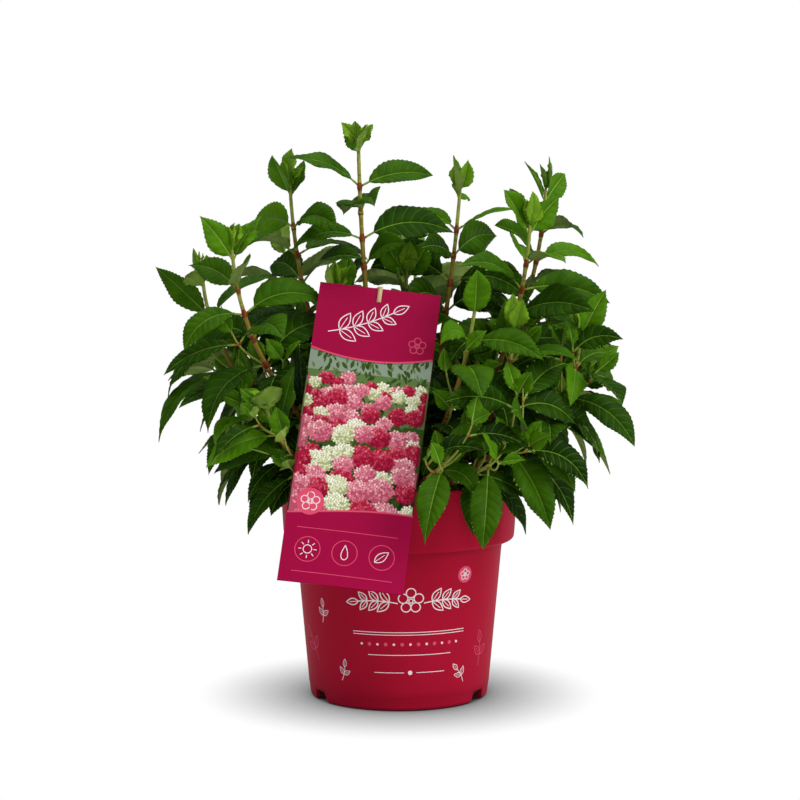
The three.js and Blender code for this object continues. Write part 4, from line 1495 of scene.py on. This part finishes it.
twigs, shoot_leaves = grow_twigs(stems, skins, leaves, fixed)
leaves += shoot_leaves
shoot_points, shoot_faces = [], []
shares = np.linspace(0, 1, TWIG_STATIONS)
for number, twig in enumerate(twigs):
    first = number * TWIG_STATIONS * TWIG_SIDES
    last = first + TWIG_STATIONS * TWIG_SIDES
    shoot_points.append(stem_rings(twig, shares, twig_radius(shares), TWIG_SIDES).reshape(-1, 3))
    shoot_faces += ring_quads(TWIG_STATIONS, TWIG_SIDES, first)
    shoot_faces.append(tuple(range(first + TWIG_SIDES - 1, first - 1, -1)))
    shoot_faces.append(tuple(range(last - TWIG_SIDES, last)))
shoots = mesh_piece("side_shoots", np.concatenate(shoot_points), shoot_faces,
                    [barks[BARK["green_wood"]]])
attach(shoots, "root")

# Leaf blades: thin, finely toothed and quilted between their veins, folded a little at the
# midrib, on a short stalk. Each is one closed skin, and all of a stem's are one piece.
BUD = {"u": 0.999, "length": 21, "spread": 16, "droop": -12}  # the last pair at a tip
BUD_CLEAR = 0.2
BLADE_SEED = 900
VEINS = 8  # side veins on each half of a blade
FEW_VEINS = 5  # of a young or small leaf
FEWEST_VEINS = 3
SMALL_LEAF = 52
TINY_LEAF = 30
VEIN_HALF = 0.22
VEIN_SWEEP = 0.64  # how far the side veins run forward to the margin
WIDEST = 0.42  # share of the blade at which it is widest
TOOTH = 0.75  # depth of the teeth, and how far the margin lies inside the outline between
TOOTH_BACK = 0.15
RIB_HALF = 0.48
QUILTING = 0.85  # how high the blade domes up between two veins
BLADE_THICK = 0.3
GROOVE = 0.35
KEEL = 0.75
# The columns of points across a leaf, as shares of half its width: over its face from one
# margin to the other, and back below it. Those at 0.04 and 0.1 are the sides of the midrib,
# above and below.
FACE = (-1, -0.9, -0.72, -0.5, -0.27, -0.04, 0, 0.04, 0.27, 0.5, 0.72, 0.9, 1)
BELOW = (0.66, 0.1, 0, -0.1, -0.66)
COLUMNS = np.array(FACE + BELOW)
RING = len(COLUMNS)
UNDER = np.arange(RING) >= len(FACE)
UNDER_QUADS = np.arange(RING) >= len(FACE) - 1
RIB_QUADS = [5, 6]
SIDE = np.sign(COLUMNS)
ASIDE = np.abs(COLUMNS)
RIB_EDGE = np.isclose(ASIDE, 0.04)
KEEL_EDGE = np.isclose(ASIDE, 0.1)
MIDDLE = ASIDE < 0.01
# Rings of the stalk: share of its length and radius.
STALK = ((0, 1.25), (0.35, 0.85), (0.7, 0.9))
# The tissues: two colours, roughness and relief. The first five are leaf faces by age, lighter
# when young, and the oldest is darkened further as painted shade of the crown's inside.
TISSUES = {
    # Painted shade: the oldest leaves' face is darker than their own green.
    "leaf_old_shaded": ("#122801", "#1b3601", 0.5, 0.35),
    "leaf_ripe": ("#1d3a01", "#284a01", 0.48, 0.35),
    "leaf_fresh": ("#2d5202", "#3a6203", 0.46, 0.35),
    "leaf_new": ("#427005", "#50800b", 0.44, 0.3),
    "leaf_bud": ("#5f8a12", "#769f24", 0.42, 0.25),
    "leaf_underside": ("#789244", "#8ca258", 0.65, 0.3),
    "side_vein": ("#3c6412", "#487018", 0.5, 0.1),
    "midrib": ("#648a2a", "#779a3a", 0.5, 0.1),
    "red_leafstalk": ("#8a4c22", "#a8683a", 0.5, 0.1),
    "green_leafstalk": ("#7d9638", "#8fa546", 0.5, 0.1),
    "young_underside": ("#7c9e3a", "#93b252", 0.6, 0.3),
    "young_midrib": ("#84a843", "#95b556", 0.5, 0.1),
}
TISSUE = {name: number for number, name in enumerate(TISSUES)}


def tip_buds(stems, grown):
    """The bud at each tip: a last pair of leaves, still clasped by the stem's young ones."""
    buds = []
    for number, stem in enumerate(stems):
        last = leaf_places(stem)[-1]
        if not last["young"]:
            continue
        place = dict(last, azimuth=last["azimuth"] + 90, **BUD)
        others = [leaf["whole"] for leaf in grown
                  if leaf["number"] != number or not leaf["rib"]["young"]]
        for side in (0, 1):
            for attempt in range(TRIES["most"]):
                rib = leaf_rib(stem, place, side, 50000 + number * 2 + side, attempt)
                whole = leaf_shell(rib, BUD_CLEAR)
                if whole.high[2] < CROWN["highest"] and not any(map(whole.touches, others)):
                    buds.append({"number": number, "rib": rib, "age": 0})
                    break
    return buds


def blade_rows(veins):
    """The rows of a blade by where they leave the midrib, in steps from vein to vein: two
    close ones at each side vein, and three between, of which two end in a tooth."""
    rows = [(0.0, "base", 0)]
    for i in range(veins + 1):
        if i:
            rows += [(i, "vein", 0), (i, "after", 0)]
        rows += [(i + 0.25, "web", 1), (i + 0.5, "web", 0), (i + 0.75, "web", 1)]
    rows.append((veins + 0.995, "tip", 0))
    return map(np.array, zip(*rows))


def blade_lie(young, random):
    """How one blade lies: where it is widest, its fold, curl, waves and twist."""
    return {
        "widest": WIDEST + 0.05 * random.uniform(-1, 1),
        "fold": math.tan(math.radians(random.uniform(*((22, 38) if young else (10, 32))))),
        "curl": random.uniform(0.3, 0.9),
        "wave": random.uniform(0.4, 2.0),
        "twist": math.radians(random.uniform(-24, 24)),
        "waves": random.uniform(1.2, 2.4),
        "phase": random.uniform(0, 2 * math.pi),
    }


def blade_points(rib, step, web, tooth, lie):
    """The points of a blade: its toothed outline, its fold, ripple and quilting, the groove
    over the midrib and the keel under it. Its rows start at shares of the midrib, and web
    says how far each lies from one side vein to the next."""
    b = np.clip(step + VEIN_SWEEP * step * (1 - step) * ASIDE ** 1.2, 0, 1)
    top = lie["widest"]
    outline = np.power(b / top, 0.85) * np.power((1 - b) / (1 - top), 0.85 * (1 - top) / top)
    half = outline * rib["width"] / 2 + (1 - b) ** 6
    teeth = (TOOTH * tooth - TOOTH_BACK) * np.minimum(1, half / 4)
    x = SIDE * (ASIDE * half + teeth * (ASIDE > 0.95))
    rib_half = np.minimum(RIB_HALF * (1 - 0.55 * b), 0.4 * half)
    x = np.where(RIB_EDGE, SIDE * rib_half, x)
    x = np.where(KEEL_EDGE, SIDE * rib_half * 1.5, x)

    lift = lie["fold"] * np.abs(x) * (1 - lie["curl"] * ASIDE ** 2)
    ripple = np.sin(2 * math.pi * lie["waves"] * b + lie["phase"] + SIDE) * ASIDE ** 3
    lift = lift + lie["wave"] * ripple * np.sin(math.pi * b)
    dome = np.sin(math.pi * web) ** 2 * np.sin(math.pi * ASIDE) ** 0.8
    lift = lift + QUILTING * min(1, rib["width"] / 26) * dome * np.minimum(1, half / 6)
    thick = BLADE_THICK * (1 - ASIDE ** 6)
    keel = np.where(MIDDLE, KEEL, np.where(KEEL_EDGE, 0.1, 0)) * (1 - 0.6 * b)
    lift = np.where(UNDER, lift - thick / 2 - keel, lift + thick / 2 - GROOVE * MIDDLE)

    centre, up, across = rib_frames(rib, PETIOLE + (1 - PETIOLE) * b)
    twist = (lie["twist"] * b ** 1.5)[..., None]
    up, across = (
        up * np.cos(twist) - across * np.sin(twist),
        across * np.cos(twist) + up * np.sin(twist),
    )
    return centre + across * x[..., None] + up * lift[..., None]


def stalk_points(rib):
    """The rings of a leaf's stalk, with as many points as a row of the blade."""
    column = np.arange(RING)
    angle = math.pi * np.where(UNDER, 2 - (column - 12) / 6, 1 - column / 12)
    t, radius = np.array(STALK).T
    radius = radius[:, None] * (0.75 if rib["young"] else 1)
    centre, up, across = rib_frames(rib, t * PETIOLE)
    sideways, upward = radius * np.cos(angle), radius * np.sin(angle)
    return (
        centre[:, None]
        + across[:, None] * sideways[..., None]
        + up[:, None] * upward[..., None]
    )


def leaf_slots(leaf, kind):
    """The tissue of every quad of a leaf: its face, underside, veins, midrib and stalk."""
    young, face = leaf["rib"]["young"], leaf["tissue"]
    slots = np.full((len(STALK) + len(kind) - 1, RING), face)
    slots[:, UNDER_QUADS] = TISSUE["young_underside" if young else "leaf_underside"]
    if face < TISSUE["leaf_new"]:
        veins = np.concatenate([[False] * len(STALK), kind[:-1] == "vein"])
        slots[np.ix_(veins, ~UNDER_QUADS)] = TISSUE["side_vein"]
    slots[:, RIB_QUADS] = TISSUE["young_midrib" if young else "midrib"]
    slots[:len(STALK)] = TISSUE["green_leafstalk"]
    if not young:
        slots[0] = TISSUE["red_leafstalk"]
    return slots


def leaf_skin(leaf, random):
    """Rings of points and tissues of one leaf: its stalk, the toothed blade and its veins."""
    rib = leaf["rib"]
    length = np.linalg.norm(rib["curve"][2] - rib["curve"][0])
    veins = FEW_VEINS if rib["young"] or length < SMALL_LEAF else VEINS
    if length < TINY_LEAF:
        veins = FEWEST_VEINS
    rows, kind, tooth = blade_rows(veins)
    strip = VEIN_HALF / length
    step = rows / (veins + 1) - strip * (kind == "vein") + strip * (kind == "after")
    web = step * (veins + 1) % 1
    lie = blade_lie(rib["young"], random)
    blade = blade_points(rib, step[:, None], web[:, None], tooth[:, None], lie)
    return np.concatenate([stalk_points(rib), blade]), leaf_slots(leaf, kind)


def join_leaves(leaves, random):
    """All leaves of one stem as one mesh, each closed at its foot and tip."""
    points, faces, slots = [], [], []
    first = 0
    for leaf in leaves:
        rings, tissues_here = leaf_skin(leaf, random)
        last = first + rings.size // 3
        faces += ring_quads(len(rings), RING, first)
        faces += [tuple(range(first + RING - 1, first - 1, -1)), tuple(range(last - RING, last))]
        slots += [*tissues_here.ravel().tolist(), TISSUE["red_leafstalk"], TISSUE["midrib"]]
        points.append(rings.reshape(-1, 3))
        first = last
    return np.concatenate(points), faces, slots


def face_tissue(leaf, hanging, random):
    """The tissue of a leaf's face: darker the older it is, partly by age and partly as painted
    shade of the crown's inside, and darker on a hanging stem as painted shade under the crown.
    """
    # Painted shade: the tones go darker with age beyond the real change, and a hanging stem's
    # leaves are darker still.
    fresh_and_lit = (2.2 if hanging else 3.4) * (1 - leaf["age"]) + random.uniform(-0.7, 0.7)
    if leaf["rib"]["young"]:
        return TISSUE["leaf_new" if leaf["age"] else "leaf_bud"]
    return int(np.clip(fresh_and_lit, TISSUE["leaf_old_shaded"], TISSUE["leaf_new"]))


def leaf_tissue(name, dark, light, roughness, relief):
    """Leaf skin: a thin satin cuticle over cells, a little mottled, with a net of veinlets
    about 1.5 mm across that only the relief shows."""
    made = material(name, dark, roughness, 1.4, 0.07)
    tree = made.node_tree
    place = node(tree, "ShaderNodeTexCoord").outputs["Object"]
    cells = node(tree, "ShaderNodeTexNoise", {"Scale": 1 / (16 * MM), "Detail": 4.0},
                 {"Vector": place})
    net = node(tree, "ShaderNodeTexVoronoi", {"feature": "SMOOTH_F1", "Scale": 1 / (1.5 * MM)},
               {"Vector": place})
    mottle(made, cells.outputs["Fac"], dark, light, (0.35, 0.65), net.outputs["Distance"],
           {"Strength": relief, "Distance": 0.25 * MM, "invert": True})
    return made


leaves += tip_buds(stems, leaves)
tissues = [leaf_tissue(name, *finish) for name, finish in TISSUES.items()]
for number, stem in enumerate(stems):
    random = np.random.default_rng(BLADE_SEED + number)
    own = [leaf for leaf in leaves if leaf["number"] == number]
    for leaf in own:
        leaf["tissue"] = face_tissue(leaf, stem.hang, random)
    points, faces, slots = join_leaves(own, random)
    blades = mesh_piece("leaves_" + stem.name, points, faces, tissues, slots)
    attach(blades, "root")
    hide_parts("foliage_" + stem.name)
